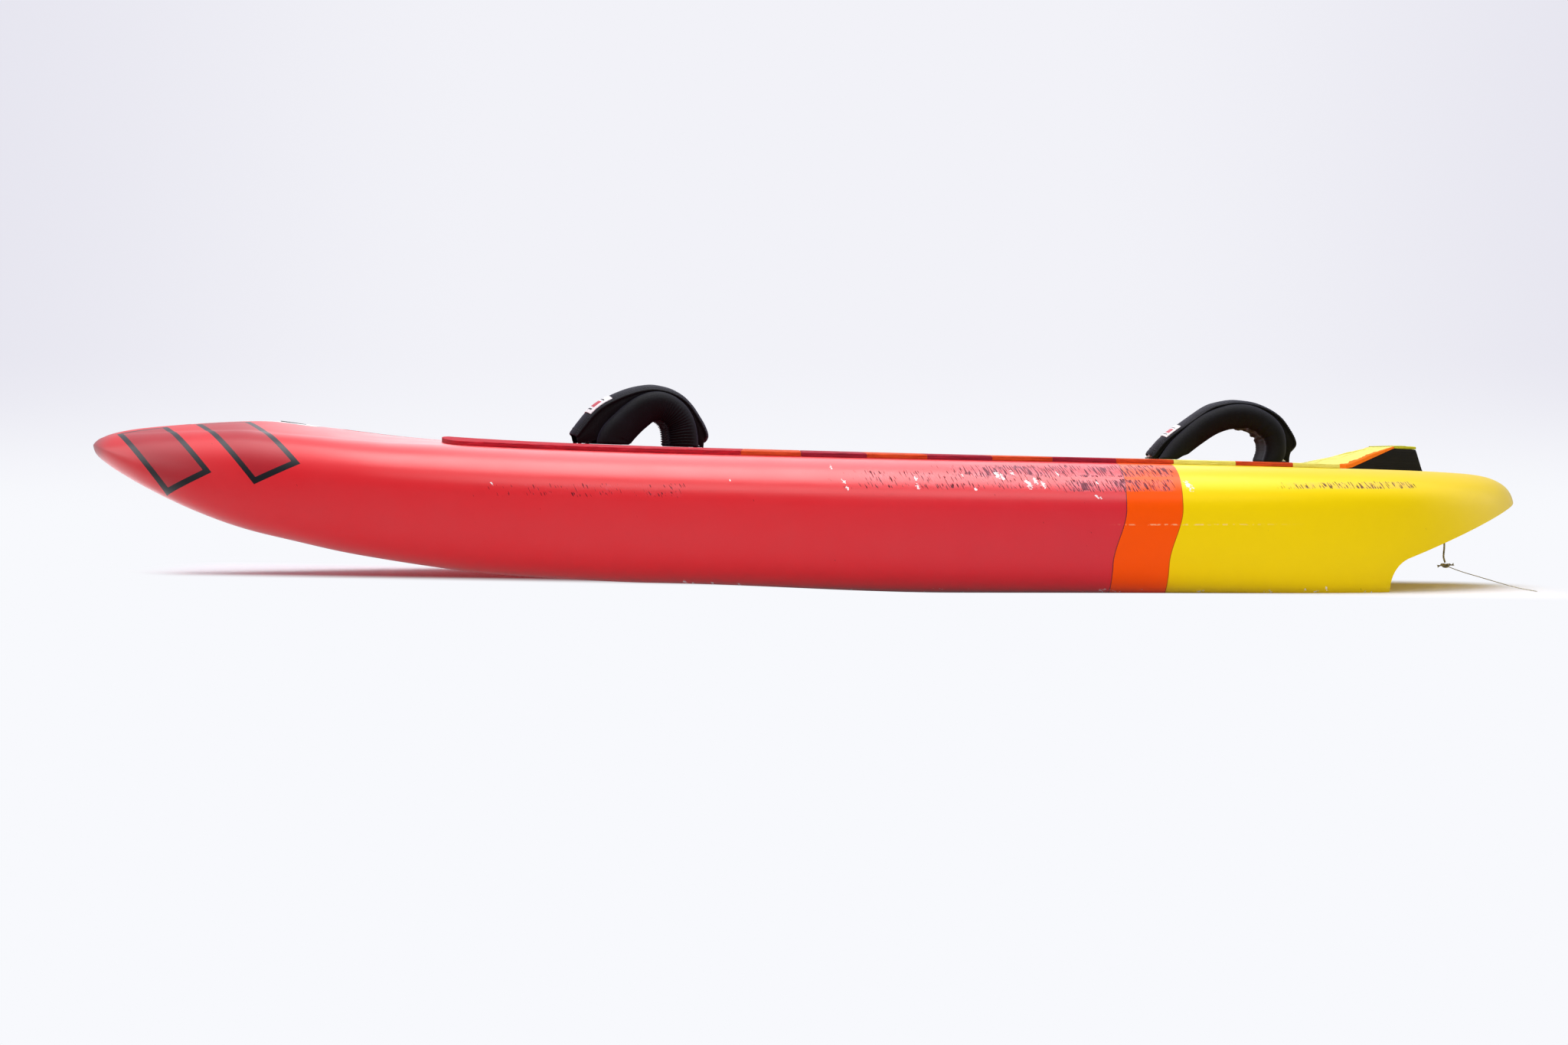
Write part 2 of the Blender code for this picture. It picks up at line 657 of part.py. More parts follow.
def build_foil_tracks(bottom_skin, core):
    length, width, depth = TRACK_BOX
    centre_x = TRACK_REAR_X - length / 2
    block_low = SKIN + GAP
    block_size = (length + 2 * BLOCK_MARGIN, TRACK_SPACING + width + 2 * BLOCK_MARGIN, BLOCK_HEIGHT)
    block_centre = (centre_x, 0, block_low + BLOCK_HEIGHT / 2)
    block = box("foil_block", block_size, block_centre, DENSE_FOAM)
    pocket_size = (block_size[0] + 2 * GAP, block_size[1] + 2 * GAP, BLOCK_HEIGHT + SKIN + GAP)
    cut(core, box("block_pocket", pocket_size, (centre_x, 0, pocket_size[2] / 2), None))
    below = 0.02
    for side, sign in (("port", -1), ("starboard", 1)):
        base = frame("foil_track_frame_" + side, Matrix.Translation((centre_x, sign * TRACK_SPACING / 2, 0)))
        track = box("foil_track_" + side, TRACK_BOX, (0, 0, GAP + depth / 2), BLACK_PLASTIC, base)
        cut(track, *slot_cutters("track_" + side, TRACK_SLOT, TRACK_TEE, TRACK_WINDOW_LENGTH, 1, base))
        pocket_size = grown((length, width, depth + below), GAP)
        pocket = box("track_pocket_" + side, pocket_size, (0, 0, (depth - below) / 2 + GAP), None, base)
        cut(bottom_skin, pocket)
        cut(block, pocket)


def build_vent(deck_skin, core):
    base = deck_frame("vent_frame", VENT_X)
    proud = GAP
    under_flange = proud - VENT_FLANGE
    turned(
        "vent_plug",
        [
            (VENT_FLANGE_RADIUS, proud), (VENT_FLANGE_RADIUS, under_flange), (VENT_RADIUS, under_flange),
            (VENT_RADIUS, -VENT_LENGTH), (VENT_BORE, -VENT_LENGTH), (VENT_BORE, -VENT_SEAT),
            (VENT_HEAD_RADIUS + FIT, -VENT_SEAT), (VENT_HEAD_RADIUS + FIT, proud),
        ],
        BLACK_PLASTIC, base, 18, ring=True,
    )
    shank = VENT_BORE - FIT
    bpy.ops.mesh.primitive_torus_add(
        major_radius=shank + GAP + ORING_WIRE, minor_radius=ORING_WIRE, major_segments=18, minor_segments=6
    )
    oring = bpy.context.object
    oring.name = "vent_oring"
    for owner in list(oring.users_collection):
        owner.objects.unlink(oring)
    place(oring, RUBBER, base)
    oring.location.z = -VENT_SEAT + GAP + ORING_WIRE
    under = -VENT_SEAT + 2 * (GAP + ORING_WIRE)
    top, end = under + VENT_HEAD, under - VENT_SCREW_LENGTH
    screw = turned(
        "vent_screw",
        [
            (0, top), (VENT_HEAD_RADIUS, top), (VENT_HEAD_RADIUS, under),
            (shank, under), (shank, end), (0, end),
        ],
        BLACK_PLASTIC, base, 18,
    )
    cut(screw, box("coin_slot", (*COIN_SLOT[:2], 2 * COIN_SLOT[2]), (0, 0, top), None, base))
    over = 0.01
    pocket = turned(
        "vent_pocket",
        [
            (0, over), (VENT_FLANGE_RADIUS + FIT, over), (VENT_FLANGE_RADIUS + FIT, under_flange - FIT),
            (VENT_RADIUS + FIT, under_flange - FIT), (VENT_RADIUS + FIT, -VENT_LENGTH - FIT),
            (0, -VENT_LENGTH - FIT),
        ],
        None, base, 18,
    )
    cut(deck_skin, pocket)
    cut(core, pocket)


def spline(points, steps):
    """Evenly spaced points on a smooth curve through a few, as 2D vectors."""
    known = [Vector(p) for p in points]
    known = [2 * known[0] - known[1], *known, 2 * known[-1] - known[-2]]
    fine = []
    for a, b, c, d in zip(known, known[1:], known[2:], known[3:]):
        fine += [between(a, b, c, d, i / 8) for i in range(8)]
    fine.append(known[-2])
    lengths = [0.0]
    for a, b in zip(fine, fine[1:]):
        lengths.append(lengths[-1] + (b - a).length)
    found = []
    for i in range(steps + 1):
        at = lengths[-1] * i / steps
        k = max(1, next((j for j, run in enumerate(lengths) if run >= at - 1e-9), len(lengths) - 1))
        share = (at - lengths[k - 1]) / (lengths[k] - lengths[k - 1])
        found.append(fine[k - 1].lerp(fine[k], share))
    return found


def between(a, b, c, d, t):
    """A point of the smooth curve through four points, from b (0) to c (1)."""
    square, cube = (2 * a - 5 * b + 4 * c - d) * t * t, (3 * b - a - 3 * c + d) * t**3
    return (2 * b + (c - a) * t + square + cube) / 2


def normals_of(points, level_height=0.0):
    """Unit normals that point out of an arch, turned level towards its feet from a height down."""
    found = []
    for i, point in enumerate(points):
        step = points[min(i + 1, len(points) - 1)] - points[max(i - 1, 0)]
        out = Vector((-step.y, step.x)).normalized()
        if point.y < level_height:
            share = point.y / level_height
            share = share * share * (3 - 2 * share)
            level = Vector((-1, 0)) if i < len(points) / 2 else Vector((1, 0))
            out = level.lerp(out, share).normalized()
        found.append(out)
    return found


def padding_section(swell):
    """(out, across) points of the padding: two fat rolls with a channel for the webbing between them."""
    roll = STRAP_ROLL * swell
    centre = STRAP_WIDTH / 2 - STRAP_ROLL
    channel = WEBBING_WIDTH / 2 + 2 * FIT
    half = [(CHANNEL_OUTER, channel)]
    for angle in (-60, -10, 40, 90, 140, 190):
        turn = math.radians(angle)
        half.append((roll * math.cos(turn), centre + roll * math.sin(turn)))
    half.append((-CHANNEL_INNER, channel))
    return half + [(out, -side) for out, side in reversed(half)]


def band_ring(point, out, thickness, half):
    """The four corners of a band's section at a point of its line, with the outward side first."""
    over, under = point + out * thickness / 2, point - out * thickness / 2
    return [(p.x, y, p.y) for p, y in ((over, -half), (over, half), (under, half), (under, -half))]


def cover_ring(point, out, droop, half):
    """The cover's section at a point of its crown: across its outer side and back across its inner side."""
    across_it = [(side * half, droop * abs(side) ** 2.2) for side in (-1, -0.6, 0, 0.6, 1)]
    outer = [(point - out * d, y) for y, d in across_it]
    inner = [(point - out * (d + COVER_THICKNESS), y) for y, d in reversed(across_it)]
    return [(p.x, y, p.y) for p, y in outer + inner]


def webbing_path(line, offset, floor):
    """The webbing's line outside the rolls' line, with a tab turned out at each foot, and its screws' x."""
    path = [p + n * offset for p, n in zip(line, normals_of(line)) if p.y > WEBBING_RISE]
    screws = []
    for sign in (-1, 1):
        leg, before = (path[0], path[1]) if sign < 0 else (path[-1], path[-2])
        heading = (leg - before).normalized()
        corner = leg + heading * ((floor - leg.y) / heading.y)
        flat = corner + Vector((sign * WEBBING_BEND, 0))
        start = corner - heading * WEBBING_BEND
        foot = [start.lerp(corner, t).lerp(corner.lerp(flat, t), t) for t in (0, 0.33, 0.67, 1)]
        foot.append(flat + Vector((sign * WEBBING_TAB, 0)))
        screws.append(flat.x + sign * WEBBING_TAB / 2)
        path = foot[::-1] + path if sign < 0 else path + foot
    return path, screws


def build_strap(name, base, lines, droop, deck_skin, core, pads):
    """One footstrap in the frame of its empty, whose z = 0 is the top of the pad."""
    steps = 22
    line = spline(lines[0], steps)
    rings = []
    for i, (point, out) in enumerate(zip(line, normals_of(line, 1.8 * STRAP_ROLL))):
        swell = 1 + 0.05 * math.sin(RIBS * math.pi * i / steps) * math.sin(math.pi * i / steps)
        rings.append([(point.x + out.x * n, y, point.y + out.y * n + FIT) for n, y in padding_section(swell)])
    loft(name + "_padding", rings, NEOPRENE, base)

    floor = FIT + WEBBING_THICKNESS / 2
    path, screws = webbing_path(line, CHANNEL_OUTER + 2 * FIT + WEBBING_THICKNESS / 2, floor)
    rings = []
    for point, out in zip(path, normals_of(path)):
        rings.append(band_ring(point, out, WEBBING_THICKNESS, WEBBING_WIDTH / 2))
    webbing = loft(name + "_webbing", rings, WEBBING, base)

    steps = 20
    crown = spline(lines[1], steps)
    rings = []
    for i, (point, out) in enumerate(zip(crown, normals_of(crown))):
        fullness = math.sin(math.pi * i / steps) ** 0.5
        half = COVER_WIDTH / 2 * (COVER_END_SHARE + (1 - COVER_END_SHARE) * fullness)
        fore = max(0.0, 1 - i / steps / FORE_END_SHARE) ** 2
        rings.append(cover_ring(point, out, droop + (FORE_END_DROOP - droop) * fore, half))
    loft(name + "_cover", rings, NEOPRENE, base)

    deck_level = -PAD_THICKNESS - GAP
    for end, screw_x in zip(("fore", "aft"), screws):
        spot = bpy.data.objects.new(f"{name}_{end}_frame", None)
        PARTS.objects.link(spot)
        spot.parent = base
        spot.location.x = screw_x
        hole = SCREW_RADIUS + FIT
        cut(webbing, rod(f"{name}_{end}_webbing_hole", hole, -0.01, 0.01, None, spot))
        washer_low = floor + WEBBING_THICKNESS / 2 + GAP
        washer_high = washer_low + WASHER_THICKNESS
        turned(
            f"{name}_washer_{end}",
            [
                (WASHER_RADIUS, washer_high), (WASHER_RADIUS, washer_low),
                (hole, washer_low), (hole, washer_high),
            ],
            STEEL, spot, ring=True,
        )
        seat = washer_high + GAP
        top, tip = seat + SCREW_HEAD_HEIGHT, seat - SCREW_LENGTH
        turned(
            f"{name}_screw_{end}",
            [
                (0, top), (0.55 * SCREW_HEAD_RADIUS, top), (SCREW_HEAD_RADIUS, top - 0.4 * SCREW_HEAD_HEIGHT),
                (SCREW_HEAD_RADIUS, seat), (SCREW_RADIUS, seat), (SCREW_RADIUS, tip),
                (0, tip - SCREW_RADIUS / 2),
            ],
            STEEL, spot, 12,
        )
        plug_top = deck_level - FIT
        plug_bottom = plug_top - PLUG_LENGTH
        turned(
            f"{name}_plug_{end}",
            [
                (0, plug_bottom + PLUG_FLOOR), (hole, plug_bottom + PLUG_FLOOR), (hole, plug_top),
                (PLUG_RADIUS, plug_top), (PLUG_RADIUS, plug_bottom), (0, plug_bottom),
            ],
            BLACK_PLASTIC, spot,
        )
        pocket = rod(f"{name}_{end}_pocket", PLUG_RADIUS + FIT, plug_bottom - FIT, 0.003, None, spot)
        cut(deck_skin, pocket)
        cut(core, pocket)
        wide = SCREW_RADIUS + 4 * FIT
        hole_in_pad = rod(f"{name}_{end}_pad_hole", wide, deck_level - 0.002, 0.004, None, spot)
        hole_x = (base.matrix_world @ spot.location).x
        for strip, front, rear in pads:
            if front < hole_x + wide and hole_x - wide < rear:
                cut(strip, hole_in_pad)


def strap_frame(name, x, y, turn, reach):
    """An empty on top of the pad, its X through the two screws, which lie a reach either side of it."""
    ends = []
    for sign in (-1, 1):
        end_x = x + sign * reach * math.cos(turn)
        end_y = y + sign * reach * math.sin(turn)
        on_deck = Vector((end_x, end_y, deck_z(end_x, end_y)))
        ends.append(on_deck + deck_normal(end_x, end_y) * (GAP + PAD_THICKNESS))
    middle = (ends[0] + ends[1]) / 2
    return frame(name, axes_matrix(middle, ends[1] - ends[0], deck_normal(x, y)))


def build_straps(deck_skin, core, pads):
    """Both straps stand on the middle line. The front one is turned, with its fore end to port."""
    straps = (
        ("front_strap", FRONT_STRAP_X, FRONT_STRAP_TURN, (FRONT_ROLL_LINE, FRONT_CROWN_LINE), FRONT_COVER_DROOP),
        ("rear_strap", REAR_STRAP_X, 0.0, (REAR_ROLL_LINE, REAR_CROWN_LINE), REAR_COVER_DROOP),
    )
    for name, x, turn, lines, droop in straps:
        base = strap_frame(name + "_frame", x, 0.0, turn, STRAP_REACH)
        build_strap(name, base, lines, droop, deck_skin, core, pads)


def build_leash_plug(bottom_skin, core):
    slope = math.atan(CUTAWAY_SLOPE)
    origin = Vector((LEASH_X, 0, roof_z(LEASH_X)))
    up_roof = Vector((math.cos(slope), 0, math.sin(slope)))
    out_of_roof = Vector((math.sin(slope), 0, -math.cos(slope)))
    base = frame("leash_frame", axes_matrix(origin, up_roof, out_of_roof))
    inner = CUP_RADIUS - CUP_WALL
    floor = CUP_WALL - CUP_DEPTH
    cup = turned(
        "leash_plug",
        [
            (0, floor), (inner * 0.9, floor), (inner, 0), (CUP_RADIUS, 0), (CUP_RADIUS, -CUP_DEPTH),
            (0, -CUP_DEPTH),
        ],
        BLACK_PLASTIC, base, 18,
    )
    bars = (
        ("leash_pin", PIN_RADIUS, CUP_RADIUS - GAP, STEEL),
        ("pin_bore", PIN_RADIUS + FIT, 1.5 * CUP_RADIUS, None),
    )
    for name, radius, half, kind in bars:
        made = rod(name, radius, -half, half, kind, base, 12)
        made.rotation_euler = (math.pi / 2, 0, 0)
        made.location.z = -PIN_DEPTH
    cut(cup, bpy.data.objects["pin_bore"])
    pocket = rod("leash_pocket", CUP_RADIUS + FIT, -CUP_DEPTH - FIT, 0.01, None, base, 18)
    cut(bottom_skin, pocket)
    cut(core, pocket)


def smooth_route(route, spacing):
    """Points at about even spacing on a smooth curve through the route's own points."""
    points = [UNDER_LEASH + Vector(p) for p in route]
    points = [2 * points[0] - points[1], *points, 2 * points[-1] - points[-2]]
    found = []
    for a, b, c, d in zip(points, points[1:], points[2:], points[3:]):
        steps = max(2, round((c - b).length / spacing))
        found += [between(a, b, c, d, i / steps) for i in range(steps)]
    return [*found, points[-2]]


def cord(name, route, radius, spacing):
    curve = bpy.data.curves.new(name, "CURVE")
    curve.dimensions = "3D"
    curve.bevel_depth = radius
    curve.bevel_resolution = 2
    curve.use_fill_caps = True
    points = smooth_route(route, spacing)
    spline = curve.splines.new("POLY")
    spline.points.add(len(points) - 1)
    for point, place_at in zip(spline.points, points):
        point.co = (*place_at, 1)
    return place(bpy.data.objects.new(name, curve), CORD)


def build_line():
    cord("leash_line", LINE_ROUTE, LINE_RADIUS, 3 * LINE_RADIUS)
    bm = bmesh.new()
    stretch = Matrix.Translation(UNDER_LEASH + Vector(KNOT_CENTRE)) @ Matrix.Diagonal((*KNOT_SIZE, 1))
    bmesh.ops.create_uvsphere(bm, u_segments=14, v_segments=8, radius=0.5, matrix=stretch)
    object_of("leash_knot", bm, CORD)
    cord("leash_tail", TAIL_LINE_ROUTE, TAIL_LINE_RADIUS, 0.008)


def shade_round_pieces():
    for obj in PARTS.objects:
        if obj.type == "MESH" and obj.data.polygons:
            obj.data.shade_smooth()
            obj.data.set_sharp_from_angle(angle=math.radians(32))


def main():
    deck_skin, bottom_skin, core = build_hull()
    over_deck = hull("over_deck", GAP, None)
    pads = build_pad(over_deck)
    build_kick(over_deck)
    build_mast_track(deck_skin, core)
    build_foil_tracks(bottom_skin, core)
    build_vent(deck_skin, core)
    build_straps(deck_skin, core, pads)
    build_leash_plug(bottom_skin, core)
    build_line()
    shade_round_pieces()


main()
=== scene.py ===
"""Looks of a compact windsurfing board for a foil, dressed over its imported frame.

Metres. The nose points to -X, the tail to +X, the photographed side is port (-Y), and the floor is z = 0.
"""

import logging
import math
from dataclasses import dataclass
from enum import Enum
from typing import Callable, Iterable, Sequence

import bmesh
import bpy
import numpy as np
from mathutils import Matrix, Vector, noise


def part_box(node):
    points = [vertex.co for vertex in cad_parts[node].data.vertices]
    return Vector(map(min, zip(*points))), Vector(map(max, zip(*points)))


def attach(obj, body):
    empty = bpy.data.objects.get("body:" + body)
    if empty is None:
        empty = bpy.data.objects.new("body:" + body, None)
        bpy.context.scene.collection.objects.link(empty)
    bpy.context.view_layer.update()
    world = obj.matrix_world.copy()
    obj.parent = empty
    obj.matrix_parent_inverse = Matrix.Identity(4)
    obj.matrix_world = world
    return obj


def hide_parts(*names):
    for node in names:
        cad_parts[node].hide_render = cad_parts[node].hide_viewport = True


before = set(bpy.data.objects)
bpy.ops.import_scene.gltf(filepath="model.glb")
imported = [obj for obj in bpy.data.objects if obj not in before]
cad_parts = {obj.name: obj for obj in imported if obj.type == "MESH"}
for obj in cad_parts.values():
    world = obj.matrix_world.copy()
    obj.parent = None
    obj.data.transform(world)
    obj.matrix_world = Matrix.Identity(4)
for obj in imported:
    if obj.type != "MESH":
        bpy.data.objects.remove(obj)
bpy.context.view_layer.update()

LOG = logging.getLogger("foil_board")
BODY = "board"
GAP = 0.0003
FIT = 0.0004
PAD_THICKNESS = 0.005
Colour = tuple[float, float, float, float]
Object = bpy.types.Object
Socket = bpy.types.NodeSocket
Tree = bpy.types.NodeTree
# Settings of an eased range, and of a mix of two colours.
SMOOTH = {"interpolation_type": "SMOOTHSTEP"}
RGBA = {"out": 2, "data_type": "RGBA"}


# Helpers for shaders.


def linear(code: str) -> Colour:
    """Turns an sRGB hex colour into linear light.

    Args:
        code: The colour as "#rrggbb".

    Returns:
        Linear red, green, blue, and an alpha of 1.
    """
    shares = [int(code[i : i + 2], 16) / 255 for i in (1, 3, 5)]
    red, green, blue = (s / 12.92 if s <= 0.04045 else ((s + 0.055) / 1.055) ** 2.4 for s in shares)
    return red, green, blue, 1.0


def add(tree: Tree, kind: str, inputs: dict | None = None, out: int | str = 0, **settings):
    """Adds a node with its settings and links.

    Args:
        tree: The node tree to add to.
        kind: The node's type, without its "ShaderNode" prefix.
        inputs: Values or output sockets, by the input's name or number.
        out: The output that is returned.
        settings: The node's own properties.

    Returns:
        The output socket asked for.
    """
    node = tree.nodes.new("ShaderNode" + kind)
    for name, value in settings.items():
        setattr(node, name, value)
    for name, value in (inputs or {}).items():
        if isinstance(value, Socket):
            tree.links.new(value, node.inputs[name])
        else:
            node.inputs[name].default_value = value
    return node.outputs[out]


@dataclass(frozen=True)
class Finish:
    """A finish, built once as a node material and then shared."""

    name: str

    def material(self) -> bpy.types.Material:
        """Returns the material of this finish, built on its first use."""
        made = bpy.data.materials.get(self.name)
        if made is None:
            made = bpy.data.materials.new(self.name)
            made.use_nodes = True
            self.build(made.node_tree, made.node_tree.nodes["Principled BSDF"])
        return made

    def build(self, tree: Tree, shader: bpy.types.Node) -> None:
        """Adds this finish's nodes.

        Args:
            tree: The material's node tree.
            shader: Its Principled shader.
        """
        raise NotImplementedError


# Helpers for shapes.


def fair(points: Sequence[tuple[float, float]], at: np.ndarray) -> np.ndarray:
    """Reads a smooth curve that never overshoots its points.

    Args:
        points: The (share, value) points that the curve passes through.
        at: The shares to read it at.

    Returns:
        The curve's values.
    """
    xs, ys = np.array(points, float).T
    runs, rises = np.diff(xs), np.diff(ys) / np.diff(xs)
    slopes = np.zeros(len(xs))
    slopes[0], slopes[-1] = rises[0], rises[-1]
    for i in range(1, len(xs) - 1):
        if rises[i - 1] * rises[i] > 0:
            first, second = 2 * runs[i] + runs[i - 1], runs[i] + 2 * runs[i - 1]
            slopes[i] = (first + second) / (first / rises[i - 1] + second / rises[i])
    i = np.clip(np.searchsorted(xs, at, side="right") - 1, 0, len(runs) - 1)
    t, run = (at - xs[i]) / runs[i], runs[i]
    start, end = (1 + 2 * t) * (1 - t) ** 2, t * t * (3 - 2 * t)
    return start * ys[i] + t * (1 - t) ** 2 * run * slopes[i] + end * ys[i + 1] + t * t * (t - 1) * run * slopes[i + 1]


def ease(value: float | np.ndarray, low: float, high: float) -> float | np.ndarray:
    """Rises smoothly from 0 at low to 1 at high, or falls where high is the lesser."""
    share = np.clip((value - low) / (high - low), 0, 1)
    return share * share * (3 - 2 * share)


def run_along(points: np.ndarray) -> np.ndarray:
    """How far along a line each of its points lies."""
    return np.concatenate([[0], np.cumsum(np.linalg.norm(np.diff(points, axis=0), axis=1))])


def smooth_line(points: Sequence[Sequence[float]], count: int) -> np.ndarray:
    """Evenly spaced points on a smooth curve through a few.

    Args:
        points: The points that the curve passes through, in 2D or 3D.
        count: How many points to return.

    Returns:
        The points, one a row.
    """
    known = np.array(points, float)
    known = np.vstack([2 * known[0] - known[1], known, 2 * known[-1] - known[-2]])
    fine = []
    for a, b, c, d in zip(known, known[1:], known[2:], known[3:]):
        for t in np.linspace(0, 1, 24, endpoint=False):
            square, cube = (2 * a - 5 * b + 4 * c - d) * t * t, (3 * b - a - 3 * c + d) * t**3
            fine.append((2 * b + (c - a) * t + square + cube) / 2)
    fine = np.array([*fine, known[-2]])
    run = run_along(fine)
    at = np.linspace(0, run[-1], count)
    return np.column_stack([np.interp(at, run, fine[:, k]) for k in range(fine.shape[1])])


def outward(line: np.ndarray, level_height: float = 0.0) -> np.ndarray:
    """Unit normals that point out of an arch of (x, z) points.

    Args:
        line: The arch's points, from its fore foot to its aft foot.
        level_height: Below this height the normals turn level, so that a foot lies flat.

    Returns:
        One normal for each point.
    """
    step = np.gradient(line, axis=0)
    out = np.column_stack([-step[:, 1], step[:, 0]])
    out /= np.linalg.norm(out, axis=1)[:, None]
    if level_height > 0:
        share = ease(line[:, 1], 0, level_height)[:, None]
        side = np.where(np.arange(len(line)) < len(line) / 2, -1.0, 1.0)
        level = np.column_stack([side, np.zeros(len(line))])
        out = level + (out - level) * share
        out /= np.linalg.norm(out, axis=1)[:, None]
    return out


def strip_faces(rows: int, columns: int, closed: bool, start: int = 0) -> list[tuple[int, ...]]:
    """Quads between the rows of a grid of points.

    Args:
        rows: How many rows there are.
        columns: How many points there are in a row.
        closed: Whether each row closes on itself.
        start: The number of the grid's first point.

    Returns:
        The quads' point numbers.
    """
    faces = []
    for i in range(rows - 1):
        for j in range(columns if closed else columns - 1):
            k = (j + 1) % columns
            a, b = start + i * columns, start + (i + 1) * columns
            faces.append((a + j, a + k, b + k, b + j))
    return faces


def mesh_object(name: str, points: np.ndarray, faces: Iterable, sharp: float | None = None) -> Object:
    """Makes a mesh object with its faces turned outward and shaded smooth.

    Args:
        name: The object's name.
        points: Its points, one a row.
        faces: The faces' point numbers.
        sharp: An angle in degrees over which an edge is shaded sharp.

    Returns:
        The new object, in the scene.
    """
    mesh = bpy.data.meshes.new(name)
    mesh.from_pydata([tuple(p) for p in np.asarray(points, float)], [], [tuple(f) for f in faces])
    bm = bmesh.new()
    bm.from_mesh(mesh)
    bmesh.ops.recalc_face_normals(bm, faces=bm.faces)
    bm.to_mesh(mesh)
    bm.free()
    mesh.shade_smooth()
    if sharp is not None:
        mesh.set_sharp_from_angle(angle=math.radians(sharp))
    made = bpy.data.objects.new(name, mesh)
    bpy.context.scene.collection.objects.link(made)
    return made


def loft(name: str, rings: Sequence[np.ndarray], sharp: float | None = None) -> Object:
    """Makes a closed solid through rings of equal length, with flat ends."""
    count = len(rings[0])
    faces = strip_faces(len(rings), count, True)
    faces += [tuple(range(count)), tuple(range((len(rings) - 1) * count, len(rings) * count))]
    return mesh_object(name, np.vstack(rings), faces, sharp)


def slab(name: str, top: np.ndarray, bottom: np.ndarray, sharp: float | None = None) -> Object:
    """Makes a closed solid between two grids of points of one shape, (rows, columns, 3)."""
    rows, columns = top.shape[:2]
    rings = [np.vstack([upper, lower[::-1]]) for upper, lower in zip(top, bottom)]
    faces = strip_faces(rows, 2 * columns, True)
    for at in (0, (rows - 1) * 2 * columns):
        faces += [(at + j, at + j + 1, at + 2 * columns - 2 - j, at + 2 * columns - 1 - j) for j in range(columns - 1)]
    return mesh_object(name, np.vstack(rings), faces, sharp)


def frames_along(path: np.ndarray) -> tuple[np.ndarray, np.ndarray]:
    """Two unit vectors across a 3D path at each of its points, which turn as little as they can."""
    tangents = np.gradient(path, axis=0)
    tangents /= np.linalg.norm(tangents, axis=1)[:, None]
    side = np.cross(tangents[0], [0.31, 0.91, 0.27])
    sides, ups = [], []
    for tangent in tangents:
        side = side - tangent * np.dot(side, tangent)
        side /= np.linalg.norm(side)
        sides.append(side)
        ups.append(np.cross(tangent, side))
    return np.array(sides), np.array(ups)


def tube_rings(path: np.ndarray, radius: Callable[[float, np.ndarray], np.ndarray], sides: int) -> list[np.ndarray]:
    """Rings of a tube whose radius depends on how far along and round it is.

    Args:
        path: The tube's centre line.
        radius: Gives the radii for a run in metres and the angles round the tube.
        sides: How many points each ring has.

    Returns:
        The rings, one for each point of the path.
    """
    side, up = frames_along(path)
    run = run_along(path)
    angles = np.linspace(0, 2 * math.pi, sides, endpoint=False)
    rings = []
    for at, centre, across, over in zip(run, path, side, up):
        reach = radius(at, angles)[:, None]
        rings.append(centre + reach * (np.cos(angles)[:, None] * across + np.sin(angles)[:, None] * over))
    return rings


def bake(obj: Object) -> None:
    """Applies an object's modifiers to its mesh."""
    graph = bpy.context.evaluated_depsgraph_get()
    mesh = bpy.data.meshes.new_from_object(obj.evaluated_get(graph))
    obj.modifiers.clear()
    obj.data = mesh


def subtract(obj: Object, cutters: Sequence[Object]) -> None:
    """Cuts other objects out of one and removes them."""
    for cutter in cutters:
        step = obj.modifiers.new(cutter.name, "BOOLEAN")
        step.operation = "DIFFERENCE"
        step.solver = "EXACT"
        step.object = cutter
    bake(obj)
    for cutter in cutters:
        bpy.data.objects.remove(cutter)


def dress(obj: Object, finish: Finish, slot: str, *replaced: str) -> Object:
    """Gives a new piece its finish and its place on the board.

    Args:
        obj: The piece.
        finish: Its finish.
        slot: The record's material slot that it belongs to; not used.
        replaced: CAD nodes that it stands for.

    Returns:
        The piece.
    """
    obj.data.materials.clear()
    obj.data.materials.append(finish.material())
    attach(obj, BODY)
    if replaced:
        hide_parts(*replaced)
    count = len(obj.data.polygons) if obj.type == "MESH" else 0
    LOG.info("%s: %s faces, %s", obj.name, count, finish.name)
    return obj


def dress_node(name: str, finish: Finish, bevel: float = 0.0) -> None:
    """Gives a CAD node a finish, and rounds its edges where a radius is given."""
    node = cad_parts[name]
    node.data.materials.clear()
    node.data.materials.append(finish.material())
    if bevel > 0:
        rounding = node.modifiers.new("rounding", "BEVEL")
        rounding.width = bevel
        rounding.segments = 2
        rounding.limit_method = "ANGLE"
        rounding.angle_limit = math.radians(38)
        rounding.use_clamp_overlap = True
    LOG.info("%s: CAD node, %s", name, finish.name)


# Finishes.


